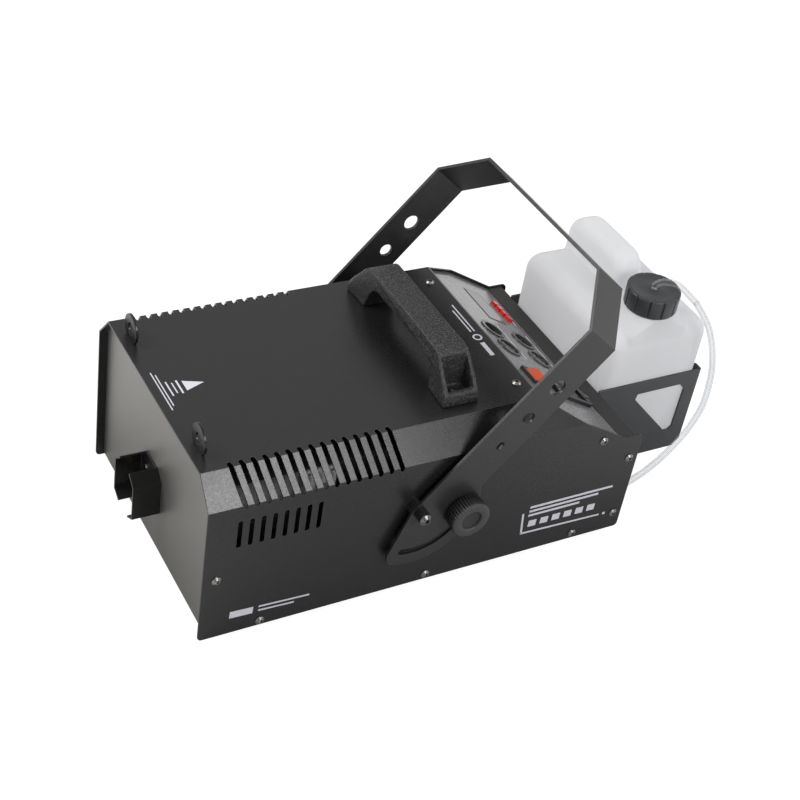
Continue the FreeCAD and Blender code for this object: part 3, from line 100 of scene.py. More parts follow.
class Graph:
    """the node tree of a material or a world, with short ways to add nodes"""

    def __init__(self, owner):
        owner.use_nodes = True
        self.tree = owner.node_tree
        self.tree.nodes.clear()

    def node(self, kind, inputs, **settings):
        """inputs maps a socket to a number, a tuple, a socket or a node (its first output)"""
        node = self.tree.nodes.new(kind)
        for key, value in settings.items():
            setattr(node, key, value)
        for key, value in inputs.items():
            socket = node.inputs[key]
            if value is None:
                continue
            if isinstance(value, bpy.types.Node):
                value = value.outputs[0]
            if isinstance(value, (int, float)):
                socket.default_value = value
            elif isinstance(value, tuple):
                socket.default_value = (*value, 1.0) if socket.type == "RGBA" else value
            else:
                self.tree.links.new(value, socket)
        return node

    def calc(self, operation, a, b=None):
        return self.node("ShaderNodeMath", {0: a, 1: b}, operation=operation).outputs[0]

    def axes(self, vector):
        return self.node("ShaderNodeSeparateXYZ", {0: vector}).outputs

    def ramp(self, value, to=(0.0, 1.0), span=NOISE_SPAN, **settings):
        """carry the range span over to the range to, clamped"""
        ends = {"From Min": span[0], "From Max": span[1], "To Min": to[0], "To Max": to[1]}
        node = self.node("ShaderNodeMapRange", {"Value": value, **ends}, clamp=True, **settings)
        return node.outputs["Result"]

    def mix_shaders(self, factor, first, second):
        return self.node("ShaderNodeMixShader", {0: factor, 1: first, 2: second})


class Material(Graph):
    def __init__(self, name):
        self.material = bpy.data.materials.new(name)
        super().__init__(self.material)
        self.place = self.node("ShaderNodeTexCoord", {}).outputs["Object"]

    def noise(self, scale, detail=3.0, rough=0.6, vector=None):
        """scale is in cycles per metre"""
        inputs = {"Scale": scale, "Detail": detail, "Roughness": rough,
                  "Vector": vector or self.place}
        return self.node("ShaderNodeTexNoise", inputs).outputs["Fac"]

    def mix(self, factor, a, b):
        # sockets 6, 7 and output 2 are the colour ones
        inputs = {"Factor": factor, 6: a, 7: b}
        return self.node("ShaderNodeMix", inputs, data_type="RGBA").outputs[2]

    def add_scaled(self, a, factor_a, b, factor_b):
        return self.calc("ADD", self.calc("MULTIPLY", a, factor_a),
                         self.calc("MULTIPLY", b, factor_b))

    def bump(self, height, strength, depth, normal=None):
        """depth is in metres"""
        inputs = {"Strength": strength, "Distance": depth, "Height": height, "Normal": normal}
        return self.node("ShaderNodeBump", inputs).outputs["Normal"]

    def edges(self, radius):
        """a mask that is 1 near sharp edges and 0 on flat faces, and the rounded normal"""
        rounded = self.node("ShaderNodeBevel", {"Radius": radius}, samples=4).outputs["Normal"]
        normal = self.node("ShaderNodeNewGeometry", {}).outputs["Normal"]
        dot = self.node("ShaderNodeVectorMath", {0: rounded, 1: normal},
                        operation="DOT_PRODUCT").outputs["Value"]
        return self.ramp(self.calc("SUBTRACT", 1.0, dot), span=(0.02, 0.25)), rounded

    def principled(self, inputs):
        return self.node("ShaderNodeBsdfPrincipled", inputs)

    def finish(self, shader):
        self.node("ShaderNodeOutputMaterial", {"Surface": shader})
        return self.material


# ---------------------------------------------------------------- families of materials
# grain is the size and depth the height of the surface grain, both in mm;
# speck, vary and the edge share set how far the colour strays from its base, the edges partly
# as rubbed paint and partly as a painted highlight
def paint(name, base, rough=0.42, ior=1.5, grain=0.32, depth=0.03, strength=0.35,
          speck=0.35, edge_wear_and_highlight=0.5, edge_wear_highlight_color=grey(0.16), smudge=0.08):
    """coated metal: fine grain, specks, soft smudges, and edges paled partly as rubbed paint,
    partly as a painted highlight
    """
    m = Material(name)
    fine = m.noise(1000.0 / grain)
    coarse = m.noise(1000.0 / (grain * 3.1), detail=2.0, rough=0.5)
    smudges = m.noise(9.0, rough=0.55)
    dust = m.noise(60.0, detail=4.0, rough=0.65)
    edge_mask, rounded = m.edges(radius=0.0006)
    color = m.mix(m.ramp(fine, span=(0.35, 0.68)),
                  shade(base, 1.0 - speck), shade(base, 1.0 + speck))
    color = m.mix(m.ramp(dust, span=(0.45, 0.8), to=(0.0, 0.4)), color, shade(base, 1.35))
    # paler edges: partly rubbed paint, partly a painted highlight along the edges
    color = m.mix(m.calc("MULTIPLY", edge_mask, edge_wear_and_highlight), color, edge_wear_highlight_color)
    roughness = m.calc("ADD",
                       m.ramp(smudges, to=(rough - smudge * 0.5, rough + smudge * 0.5)),
                       m.ramp(coarse, to=(-0.03, 0.03)))
    height = m.add_scaled(fine, 0.8, coarse, 0.15)
    normal = m.bump(height, strength, depth / 1000.0, rounded)
    return m.finish(m.principled({"Base Color": color, "Roughness": roughness, "IOR": ior,
                                  "Normal": normal, "Coat Roughness": 0.15}))


def metal(name, base, rough, brushed=None):
    """bare metal; brushed stretches the grain along the axes with a small scale"""
    m = Material(name)
    if brushed:
        stretched = m.node("ShaderNodeMapping", {"Scale": brushed, "Vector": m.place})
        grain = m.noise(900.0, vector=stretched.outputs["Vector"])
    else:
        grain = m.noise(700.0)
    stains = m.noise(45.0)
    color = m.mix(m.ramp(grain), shade(base, 0.86), shade(base, 1.08))
    color = m.mix(m.ramp(stains, span=(0.45, 0.75), to=(0.0, 0.25)), color, shade(base, 0.55))
    roughness = m.ramp(grain, to=(max(0.04, rough - 0.07), rough + 0.09))
    normal = m.bump(grain, strength=0.12, depth=0.00002)
    return m.finish(m.principled({"Base Color": color, "Metallic": 1.0,
                                  "Roughness": roughness, "Normal": normal}))


def plastic(name, base, rough, grain=0.5, depth=0.03, strength=0.3, vary=0.15, coat=0.0,
            transmission=0.0):
    m = Material(name)
    fine = m.noise(1000.0 / grain)
    patches = m.noise(30.0)
    color = m.mix(m.ramp(patches), shade(base, 1 - vary), shade(base, 1 + vary))
    color = m.mix(m.ramp(fine, span=(0.35, 0.7), to=(0.0, 0.5)), color,
                  shade(base, 1 - vary * 1.5))
    roughness = m.calc("ADD", m.ramp(patches, to=(rough - 0.05, rough + 0.05)),
                       m.ramp(fine, to=(-0.04, 0.04)))
    normal = m.bump(fine, strength, depth / 1000.0)
    return m.finish(m.principled({
        "Base Color": color, "Roughness": roughness, "IOR": 1.5, "Normal": normal,
        "Coat Weight": coat, "Transmission Weight": transmission}))


# ---------------------------------------------------------------- single materials
def tray_paint():
    """black paint; the front face is paler, as a painted sheen of reflected light, and more
    reflective
    """
    m = Material("tray_black_paint")
    # frame y, in metres, across which the front face gives way to the rest
    front = m.ramp(m.axes(m.place)["Y"], span=(-0.25225, -0.25205), to=(1.0, 0.0))
    fine = m.noise(2600.0)
    coarse = m.noise(700.0, detail=2.0, rough=0.5)
    smudges = m.noise(9.0, rough=0.55)
    edge_mask, rounded = m.edges(radius=0.0006)

    def speckled(dark, light):
        return m.mix(m.ramp(fine, span=(0.35, 0.68)), dark, light)

    color = speckled((0.010, 0.010, 0.009), (0.018, 0.0175, 0.016))
    # painted sheen: the front face's paler colour stands in for the light it reflects
    color = m.mix(m.calc("MULTIPLY", front, 0.8), color,
                  speckled((0.040, 0.039, 0.0365), (0.064, 0.0625, 0.058)))
    # paler edges: partly rubbed paint, partly a painted highlight
    color = m.mix(m.calc("MULTIPLY", edge_mask, 0.4), color, (0.16, 0.16, 0.155))
    ior = m.calc("ADD", 1.5, m.calc("MULTIPLY", front, 1.15))
    roughness = m.calc("ADD", m.ramp(smudges, to=(0.40, 0.47)),
                       m.ramp(coarse, to=(-0.03, 0.03)))
    height = m.add_scaled(fine, 0.6, coarse, 0.4)
    normal = m.bump(height, strength=0.4, depth=0.00003, normal=rounded)
    tint = m.mix(front, grey(1), (1.0, 0.985, 0.95))
    return m.finish(m.principled({"Base Color": color, "Roughness": roughness, "IOR": ior,
                                  "Normal": normal, "Specular Tint": tint}))


def knob_plastic():
    """dark moulded plastic, a little paler on the outer face"""
    m = Material("knob_phenolic")
    # distance from the middle, in metres, over which the colour turns to that of the face
    face = m.ramp(m.calc("ABSOLUTE", m.axes(m.place)["X"]), span=(0.1462, 0.1492))
    fine = m.noise(2600.0)
    patches = m.noise(60.0)
    color = m.mix(face, grey(0.008), (0.046, 0.046, 0.047))
    color = m.mix(m.ramp(fine, span=(0.35, 0.7), to=(0.0, 0.45)), color, grey(0.005))
    color = m.mix(m.ramp(patches, span=(0.45, 0.75), to=(0.0, 0.35)), color, grey(0.030))
    edge_mask, rounded = m.edges(radius=0.0005)
    # paler edges: partly rubbed plastic, partly a painted highlight
    color = m.mix(m.calc("MULTIPLY", edge_mask, 0.5), color, grey(0.13))
    normal = m.bump(fine, strength=0.5, depth=0.00003, normal=rounded)
    return m.finish(m.principled({"Base Color": color, "Normal": normal,
                                  "Roughness": m.ramp(patches, to=(0.36, 0.48))}))


def handle_plastic():
    """coarse leather-like grain, paler in specks, and paler along the edges partly from wear
    and partly as a painted highlight
    """
    m = Material("handle_grained_plastic")
    cells = m.node("ShaderNodeTexVoronoi", {"Scale": 1.0 / 0.0013, "Vector": m.place},
                   feature="F1").outputs["Distance"]
    fine = m.noise(1400.0, rough=0.65)
    patches = m.noise(22.0)
    specks = m.noise(820.0, rough=0.7)
    height = m.add_scaled(cells, 0.7, fine, 0.5)
    color = m.mix(m.ramp(cells, span=(0.10, 0.55), to=(1.0, 0.0)), grey(0.004), grey(0.018))
    color = m.mix(m.ramp(specks, span=(0.50, 0.63), to=(0.0, 0.9)), color,
                  (0.115, 0.115, 0.117))
    color = m.mix(m.ramp(fine, span=(0.40, 0.72), to=(0.0, 0.5)), color, grey(0.012))
    color = m.mix(m.ramp(patches, span=(0.45, 0.75), to=(0.0, 0.3)), color, grey(0.034))
    edge_mask, rounded = m.edges(radius=0.0012)
    # paler edges: partly rubbed plastic, partly a painted highlight
    color = m.mix(m.calc("MULTIPLY", edge_mask, 0.12), color, grey(0.075))
    normal = m.bump(height, strength=1.0, depth=0.0004, normal=rounded)
    return m.finish(m.principled({"Base Color": color, "Normal": normal,
                                  "Roughness": m.ramp(fine, to=(0.40, 0.56))}))


def clear_tube():
    """see-through face on, more solid where it turns away"""
    m = Material("clear_tube")
    tint = (0.62, 0.63, 0.64)
    ripple = m.noise(60.0, detail=2.0, rough=0.5)
    patches = m.noise(30.0, detail=2.0, rough=0.5)
    wall = m.principled({
        "Base Color": m.mix(m.ramp(patches), shade(tint, 0.92), tint), "IOR": 1.45,
        "Roughness": m.ramp(ripple, to=(0.04, 0.09)),
        "Normal": m.bump(ripple, strength=0.05, depth=0.00004)})
    clear = m.node("ShaderNodeBsdfTransparent", {0: (0.93, 0.935, 0.94)})
    facing = m.node("ShaderNodeLayerWeight", {"Blend": 0.5}).outputs["Facing"]
    solid = m.ramp(facing, span=(0.15, 0.95), to=(0.03, 0.50))
    return m.finish(m.mix_shaders(solid, clear, wall))


def bottle_plastic():
    """milky plastic: half surface, half light passing through, with a faint painted glow that
    brightens it
    """
    m = Material("natural_polyethylene")
    fine = m.noise(900.0)
    patches = m.noise(14.0, rough=0.55)
    color = m.mix(m.ramp(patches), (0.845, 0.85, 0.865), (0.885, 0.89, 0.905))
    # the emission is a painted glow; the bottle is no lamp
    surface = m.principled({
        "Base Color": color, "Emission Color": (0.95, 0.97, 1.0), "Emission Strength": 0.075,
        "Roughness": m.ramp(fine, to=(0.42, 0.52)), "IOR": 1.45,
        "Normal": m.bump(fine, strength=0.12, depth=0.00003)})
    through = m.node("ShaderNodeBsdfTranslucent",
                     {"Color": m.mix(0.5, color, (0.92, 0.925, 0.935))})
    return m.finish(m.mix_shaders(0.50, surface, through))


# ---------------------------------------------------------------- finishes of the pieces
KNOB = knob_plastic()
HANDLE = handle_plastic()
TUBE = clear_tube()
BOTTLE = bottle_plastic()
SPRING = metal("spring_wire", (0.55, 0.56, 0.57), rough=0.22)
CAP = paint("cap_dark_grey", (0.029, 0.032, 0.034), rough=0.40, grain=0.45, depth=0.05,
            strength=0.5, speck=0.2, edge_wear_and_highlight=0.55, edge_wear_highlight_color=(0.16, 0.17, 0.17))
PRINT = plastic("white_print", (0.60, 0.60, 0.66), rough=0.45, grain=0.3, depth=0.01, vary=0.05)
PRINT_DIM = plastic("pale_print", (0.46, 0.46, 0.47), rough=0.35, grain=0.3, depth=0.01,
                    vary=0.05)
LINE_DARK = plastic("dark_line", (0.035, 0.035, 0.036), rough=0.35, grain=0.3, depth=0.01,
                    vary=0.05)

# each material and the pieces that wear it
FINISHES = (
    (KNOB, "knob_right knob_left"),
    (HANDLE, "carry_handle"),
    (TUBE, "fluid_hose"),
    (BOTTLE, "bottle"),
    (SPRING, "pump_spring"),
    (CAP, "bottle_cap"),
    (tray_paint(), "base_tray"),
    (paint("body_black_powder", (0.0112, 0.0114, 0.0119), rough=0.31, grain=0.7, depth=0.035,
           strength=0.55, speck=0.65), "cover_shell"),
    (paint("yoke_satin_black", (0.0205, 0.0205, 0.0215), rough=0.35, grain=0.7, depth=0.03,
           strength=0.5, speck=0.5), "yoke"),
    (paint("cradle_satin_black", (0.036, 0.038, 0.041), rough=0.42, grain=0.5, depth=0.02,
           strength=0.4, speck=0.3), "bottle_cradle"),
    # the panel is gloss black; its mid grey base colour is partly a painted reflection of the
    # light it catches
    (paint("panel_gloss_black", (0.150, 0.150, 0.153), rough=0.20, ior=1.95, grain=0.7,
           depth=0.006, strength=0.25, speck=0.1, smudge=0.05), "control_panel"),
    (paint("shroud_black", grey(0.0045), rough=0.30, grain=0.5, depth=0.02),
     "hanging_eyes nozzle_shroud"),
    (paint("socket_black_plate", (0.040, 0.040, 0.042), rough=0.20, grain=0.6, depth=0.01,
           strength=0.2, speck=0.1), "dmx_in_3pin dmx_out_3pin dmx_in_5pin dmx_out_5pin"),
    (paint("pump_lacquer", (0.03, 0.045, 0.09), rough=0.4), "pump_body"),
    (paint("display_window_gloss", (0.040, 0.040, 0.043), rough=0.12, ior=1.9, grain=0.7,
           depth=0.003, strength=0.15, speck=0.08, smudge=0.04), "display_window"),
    (metal("screw_nickel", (0.30, 0.29, 0.27), rough=0.30), "cover_screws"),
    (metal("zinc_steel", (0.50, 0.51, 0.52), rough=0.34),
     "heating_elements heater_brackets pump_piston pump_bracket board_standoffs clamp_studs "
     "washer_right washer_left"),
    (metal("dark_steel_bolt", (0.20, 0.20, 0.205), rough=0.32), "small_screws pivot_bolts"),
    (metal("shield_aluminium", grey(0.30), rough=0.36, brushed=(1.0, 0.04, 1.0)),
     "heat_shield"),
    (metal("heater_aluminium", (0.52, 0.52, 0.50), rough=0.45), "heater_block"),
    (metal("turned_brass", (0.62, 0.46, 0.20), rough=0.28), "nozzle hose_fitting"),
    (metal("drawn_copper", (0.66, 0.34, 0.20), rough=0.3), "outlet_pipe"),
    (metal("gold_contacts", (0.86, 0.62, 0.24), rough=0.2), "contact_pins"),
    (plastic("black_plastic", (0.010, 0.010, 0.011), rough=0.30, grain=0.4, depth=0.015),
     "thermal_switches board_components mains_inlet fuse_drawer switch_housing yoke_spacers"),
    (plastic("black_rubber", grey(0.012), rough=0.65, depth=0.04, strength=0.5),
     "cap_seal rubber_feet"),
    (plastic("button_red_plastic", (0.62, 0.015, 0.010), rough=0.28, depth=0.006,
             strength=0.2, coat=0.3),
     "menu_button_1 menu_button_2 menu_button_3 menu_button_4"),
    (plastic("rocker_orange_red", (0.50, 0.055, 0.005), rough=0.38, grain=0.6, depth=0.006,
             strength=0.2), "rocker"),
    (plastic("latch_smoky_clear", (0.30, 0.30, 0.22), rough=0.2, grain=0.6, depth=0.005,
             strength=0.2, transmission=0.45), "latch_3pin latch_5pin"),
    (plastic("circuit_board_green", (0.012, 0.075, 0.028), rough=0.35, grain=1.2, depth=0.02),
     "main_board panel_board"),
    (plastic("filter_grey", (0.22, 0.23, 0.24), rough=0.8, grain=0.6, depth=0.1,
             strength=0.8), "pickup_filter"),
    (plastic("ceramic_felt", (0.060, 0.058, 0.054), rough=0.95, grain=0.8, depth=0.25,
             strength=0.9), "heater_jacket"),
    (plastic("wire_insulation", (0.16, 0.03, 0.02), rough=0.4, grain=0.8, depth=0.01),
     "wiring"),
    (plastic("silicone_hose", (0.50, 0.48, 0.44), rough=0.5, grain=0.8, depth=0.01),
     "suction_hose"),
    (plastic("terminal_grey", (0.42, 0.42, 0.40), rough=0.45, grain=0.6, depth=0.01),
     "terminal_block"),
    (plastic("dip_tube_plastic", (0.62, 0.64, 0.64), rough=0.35, grain=1.0, depth=0.005),
     "dip_tube"),
)
FINISH_OF = {piece: finish for finish, pieces in FINISHES for piece in pieces.split()}

# width of the rounded edges, for the pieces that have them
EDGE_WIDTH = {
    "cover_shell": 0.35, "base_tray": 0.3, "control_panel": 0.3, "bottle_cradle": 0.35,
    "carry_handle": 1.0, "hanging_eyes": 0.4, "nozzle_shroud": 0.25, "yoke": 0.4,
    "switch_housing": 0.35, "rocker": 0.4, "mains_inlet": 0.4, "fuse_drawer": 0.25,
    "knob_right": 0.22, "knob_left": 0.22, "nozzle": 0.3}


def round_edges(piece, width):
    """clean the CAD triangles first, so that only true edges are bevelled"""
    weld = piece.modifiers.new("weld", "WELD")
    weld.merge_threshold = 0.00001
    flat = piece.modifiers.new("flat", "DECIMATE")
    flat.decimate_type = "DISSOLVE"
    flat.angle_limit = math.radians(0.4)
    flat.delimit = {"SHARP"}
    bevel = piece.modifiers.new("bevel", "BEVEL")
    bevel.width = width / 1000.0
    bevel.segments = 2
    bevel.limit_method = "ANGLE"
    bevel.angle_limit = math.radians(35)
    bevel.use_clamp_overlap = True
    bevel.harden_normals = False


for piece_name, piece in NODES.items():
    piece = NODES[piece_name]
    piece.data.materials.clear()
    piece.data.materials.append(FINISH_OF[piece_name])
    for polygon in piece.data.polygons:
        polygon.material_index = 0
    if piece_name in EDGE_WIDTH:
        round_edges(piece, EDGE_WIDTH[piece_name])


# ---------------------------------------------------------------- mesh helpers
# a shell is a pair: its points and its faces
def build(name, shell, material=None, sharp_angle=None):
    """an object from a shell; with a sharp_angle it is smooth below that many degrees"""
    points, faces = shell
    mesh = bpy.data.meshes.new(name)
    mesh.from_pydata([tuple(point) for point in points], [], faces)
    mesh.validate()
    bm = bmesh.new()
    bm.from_mesh(mesh)
    bmesh.ops.remove_doubles(bm, verts=bm.verts, dist=1e-6)
    bmesh.ops.recalc_face_normals(bm, faces=bm.faces)
    bm.to_mesh(mesh)
    bm.free()
    if sharp_angle is not None:
        for polygon in mesh.polygons:
            polygon.use_smooth = True
        mesh.set_sharp_from_angle(angle=math.radians(sharp_angle))
    built = bpy.data.objects.new(name, mesh)
    scene.collection.objects.link(built)
    if material:
        mesh.materials.append(material)
    return built


def join(shells):
    points, faces = [], []
    for shell_points, shell_faces in shells:
        start = len(points)
        points += shell_points
        faces += [tuple(i + start for i in face) for face in shell_faces]
    return points, faces


def bands(row_count, size, wrap=False):
    """quads between neighbouring rows of size points; wrap joins the last row to the first"""
    faces = []
    for i in range(row_count if wrap else row_count - 1):
        low, high = i * size, (i + 1) % row_count * size
        for j in range(size):
            k = (j + 1) % size
            faces.append((low + j, low + k, high + k, high + j))
    return faces


def end_faces(row_count, size):
    last = (row_count - 1) * size
    return [tuple(range(size))[::-1], tuple(range(last, last + size))]


def wrapped(rows):
    """a shell whose last row meets its first"""
    return [point for row in rows for point in row], bands(len(rows), len(rows[0]), wrap=True)


def capped(rows):
    """a shell closed at both ends by a fan around the middle of the row"""
    size = len(rows[0])
    points = [point for row in rows for point in row]
    faces = bands(len(rows), size)
    for i, flip in ((0, True), (len(rows) - 1, False)):
        points.append(sum(rows[i], Vector((0, 0, 0))) / size)
        for j in range(size):
            face = (i * size + j, i * size + (j + 1) % size, len(points) - 1)
            faces.append(face[::-1] if flip else face)
    return points, faces


def arc(cx, cy, radius, start, turn, steps=8):
    """points along an arc; start and turn are degrees"""
    angles = [math.radians(start + turn * i / steps) for i in range(steps + 1)]
    return [(cx + radius * math.cos(a), cy + radius * math.sin(a)) for a in angles]


def soft_union(name, shells, material, voxel, rounds, cutters=()):
    """shells fused, cut by the cutters and softened into one skin"""
    raw = build(name + "_raw", join(shells))
    tools = []
    for i, shell in enumerate(cutters):
        tools.append(build("%s_cut%d" % (name, i), shell))
        cut = raw.modifiers.new("cut%d" % i, "BOOLEAN")
        cut.operation = "DIFFERENCE"
        cut.solver = "EXACT"
        cut.object = tools[-1]
    skin = raw.modifiers.new("skin", "REMESH")
    skin.mode = "VOXEL"
    skin.voxel_size = voxel / 1000.0
    skin.adaptivity = 0.0
    soft = raw.modifiers.new("soft", "SMOOTH")
    soft.factor = 0.5
    soft.iterations = rounds

    # keep the mesh that the modifiers give
    bpy.context.view_layer.update()
    depsgraph = bpy.context.evaluated_depsgraph_get()
    mesh = bpy.data.meshes.new_from_object(raw.evaluated_get(depsgraph))
    bpy.data.objects.remove(raw)
    mesh.name = name
    mesh.materials.clear()
    mesh.materials.append(material)
    for polygon in mesh.polygons:
        polygon.use_smooth = True
        polygon.material_index = 0
    fused = bpy.data.objects.new(name, mesh)
    scene.collection.objects.link(fused)
    for tool in tools:
        bpy.data.objects.remove(tool)
    return fused


def ribbed(name, profile, count, rib, place, material, sharp_angle):
    """a profile of (height, radius, rib depth) turned about an axis

    rib(turn) is the share of the rib depth taken off, place(height, u, v) gives the point
    """
    rows = []
    for height, radius, depth in profile:
        row = []
        for k in range(count):
            angle = 2 * math.pi * k / count
            r = radius - depth * rib(angle / (2 * math.pi))
            row.append(place(height, r * math.cos(angle), r * math.sin(angle)))
        rows.append(row)
    return build(name, wrapped(rows), material, sharp_angle)


def install(built, piece_name, carrier):
    """put a detailed mesh in the place of a CAD piece"""
    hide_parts(piece_name)
    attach(built, carrier)


# ---------------------------------------------------------------- fluid bottle
BOTTLE_LEFT, BOTTLE_RIGHT = -102.2, 57.2
BOTTLE_FRONT, BOTTLE_REAR = 423.2, 539.0
BOTTLE_BASE, BOTTLE_TOP = 20.02, 172.5
WALL_CORNER, BASE_ROUND, TOP_ROUND = 12.0, 6.0, 20.0
CAP_X, CAP_Y = 33.0, 476.0


def bottle_body():
    def level(inset, corner, z):
        x0, x1 = BOTTLE_LEFT + inset, BOTTLE_RIGHT - inset
        y0, y1 = BOTTLE_FRONT + inset, BOTTLE_REAR - inset
        centres = ((x1 - corner, y1 - corner), (x0 + corner, y1 - corner),
                   (x0 + corner, y0 + corner), (x1 - corner, y0 + corner))
        return [at(x, y, z) for i, (cx, cy) in enumerate(centres)
                for x, y in arc(cx, cy, corner, start=90 * i, turn=90.0)]

    rows = []
    for i in range(7):
        t = math.radians(90.0 * i / 6)
        inset = BASE_ROUND * (1 - math.sin(t))
        z = BOTTLE_BASE + BASE_ROUND - BASE_ROUND * math.cos(t)
        rows.append(level(inset, WALL_CORNER - inset, z))
    for i in range(12):
        t = math.radians(90.0 * i / 11)
        inset = TOP_ROUND * (1 - math.cos(t))
        z = BOTTLE_TOP - TOP_ROUND + TOP_ROUND * math.sin(t)
        rows.append(level(inset, max(WALL_CORNER - inset * 0.55, 3.0), z))
    return capped(rows)


def bottle_ridge():
    """the raised ridge along the left of the top, with rounded front and rear edges"""
    middle_y, half_flat, edge_round = 482.0, 6.0, 11.0
    left, right, top, foot = -101.0, -8.5, 208.0, 120.0
    rows = []
    for i in range(19):
        t = math.radians(-90 + 180.0 * i / 18)
        inset = edge_round * (1 - math.cos(t))
        side = (t > 0) - (t < 0)
        y = middle_y + half_flat * side + edge_round * math.sin(t)
        x0, x1, z1 = left + inset, right - inset, top - inset
        corner0, corner1 = 21.0 - inset * 0.6, 20.0 - inset * 0.6
        outline = [(x0, foot),
                   *arc(x0 + corner0, z1 - corner0, corner0, start=180, turn=-90.0),
                   *arc(x1 - corner1, z1 - corner1, corner1, start=90, turn=-90.0),
                   (x1, foot)]
        rows.append([at(x, y, z) for x, z in outline])
    return capped(rows)


def round_column(stations):
    """circles of (z, radius) about the cap's axis, held inside the bottle's right wall"""
    angles = [math.radians(5.0 * k) for k in range(72)]
    return capped([[at(min(CAP_X + radius * math.cos(a), BOTTLE_RIGHT - 0.8),
                       CAP_Y + radius * math.sin(a), z) for a in angles]
                   for z, radius in stations])


SHOULDER = (  # z, radius
    (140.0, 40.0), (167.0, 40.0), (170.0, 38.6), (173.0, 35.2),
    (176.0, 31.4), (179.0, 28.0), (181.6, 25.8), (184.2, 24.6))
NECK = ((150.0, 18.6), (199.0, 18.6), (199.8, 17.8))  # z, radius

bottle = soft_union(
    "bottle_body",
    [bottle_body(), bottle_ridge(), round_column(SHOULDER), round_column(NECK)],
    BOTTLE, voxel=1.3, rounds=7)
install(bottle, "bottle", "bottle")

# ---------------------------------------------------------------- screw cap
CAP_BASE, CAP_TOP = 184.5, 204.5
CAP_PROFILE = (  # z, radius, rib depth: out under the skirt, up, over the top and back inside
    (CAP_BASE, 19.2, 0), (CAP_BASE, 24.3, 0.3), (CAP_BASE + 0.5, 25.0, 0.9),
    (CAP_BASE + 2.0, 25.5, 1.5), (CAP_TOP - 2.2, 25.8, 1.6), (CAP_TOP - 1.0, 25.6, 1.4),
    (CAP_TOP - 0.35, 25.0, 0.9), (CAP_TOP, 24.2, 0.5), (CAP_TOP, 21.0, 0.0),
    (CAP_TOP - 0.35, 20.4, 0.0), (CAP_TOP - 0.35, 6.6, 0.0), (CAP_TOP, 6.0, 0.0),
    (CAP_TOP, 4.0, 0.0), (CAP_TOP - 0.4, 3.6, 0.0), (CAP_TOP - 2.0, 3.6, 0.0),
    (CAP_TOP - 2.0, 19.2, 0.0))


def cap_rib(turn):
    """twelve narrow grooves with sloping sides"""
    from_middle = abs((turn * 12.0 + 0.4) % 1.0 - 0.5)
    return min(1.0, max(0.0, (from_middle - 0.425) / 0.03))


cap = ribbed("bottle_cap_ribbed", CAP_PROFILE, 288, cap_rib,
             lambda height, u, v: at(CAP_X + u, CAP_Y + v, height), CAP, sharp_angle=50.0)
install(cap, "bottle_cap", "cap")

# ---------------------------------------------------------------- clear hose
HOSE_OUTER, HOSE_INNER = 3.2, 2.0   # radii
HOSE_JOIN = (60.5, 507.0, 199.0)
# x, y, z of the centre line, out of the cap and over to the join
HOSE_UPPER = (
    (33.0, 476.0, 203.2), (33.0, 476.0, 205.4), (33.6, 476.5, 208.0), (38.0, 480.0, 213.0),
    (46, 488, 215.0), (52.0, 495.0, 210.5), HOSE_JOIN)
# then down past the bottle's right side to the body
HOSE_LOWER = (
    HOSE_JOIN, (70, 519, 179.5), (76.5, 525.5, 161.0), (82.0, 529.0, 141.0),
    (85.5, 530.0, 121.0), (90.0, 526.0, 95.0), (93.0, 514.0, 72.0), (96.0, 497.0, 55.0),
    (98.0, 482.0, 43.5), (99.3, 466.0, 34.0), (100.0, 450.0, 27.0), (100.0, 438.0, 23.4),
    (100.0, 425.4, 23.0))


def smooth_path(stations, steps=12):
    """a Catmull-Rom curve through the stations"""
    path = []
    for i in range(len(stations) - 1):
        a = stations[max(i - 1, 0)]
        b, c = stations[i], stations[i + 1]
        d = stations[min(i + 2, len(stations) - 1)]
        for k in range(steps):
            t = k / steps
            path.append(0.5 * ((2 * b) + (c - a) * t + (2 * a - 5 * b + 4 * c - d) * t * t
                               + (3 * b - a - 3 * c + d) * t ** 3))
    return path + [stations[-1]]


def hose(name, stations, count=36):
    path = smooth_path([at(*station) for station in stations])
    tangents = [(path[min(i + 1, len(path) - 1)] - path[max(i - 1, 0)]).normalized()
                for i in range(len(path))]
    angles = [2 * math.pi * k / count for k in range(count)]
    across = tangents[0].orthogonal().normalized()
    outer, inner = [], []
    for point, tangent in zip(path, tangents):
        # carry the cross direction along the path, so that the tube does not twist
        across = (across - tangent * across.dot(tangent)).normalized()
        up = tangent.cross(across)
        for rows, radius in ((outer, HOSE_OUTER), (inner, HOSE_INNER)):
            rows.append([point + (across * math.cos(a) + up * math.sin(a)) * radius / 1000.0
                         for a in angles])
    return build(name, wrapped(outer + inner[::-1]), TUBE, sharp_angle=50.0)


hose_upper = hose("hose_upper", HOSE_UPPER)
hose_lower = hose("hose_lower", HOSE_LOWER)
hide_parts("fluid_hose")
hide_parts("fluid_hose")
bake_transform(hose_upper)
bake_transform(hose_lower)

# ---------------------------------------------------------------- pump return spring
SPRING_X, SPRING_Y = 66.0, 330.0
SPRING_BASE, SPRING_TOP = 58.65, 83.35
COIL_RADIUS, WIRE_RADIUS, COIL_PITCH = 4.5, 0.58, 3.2


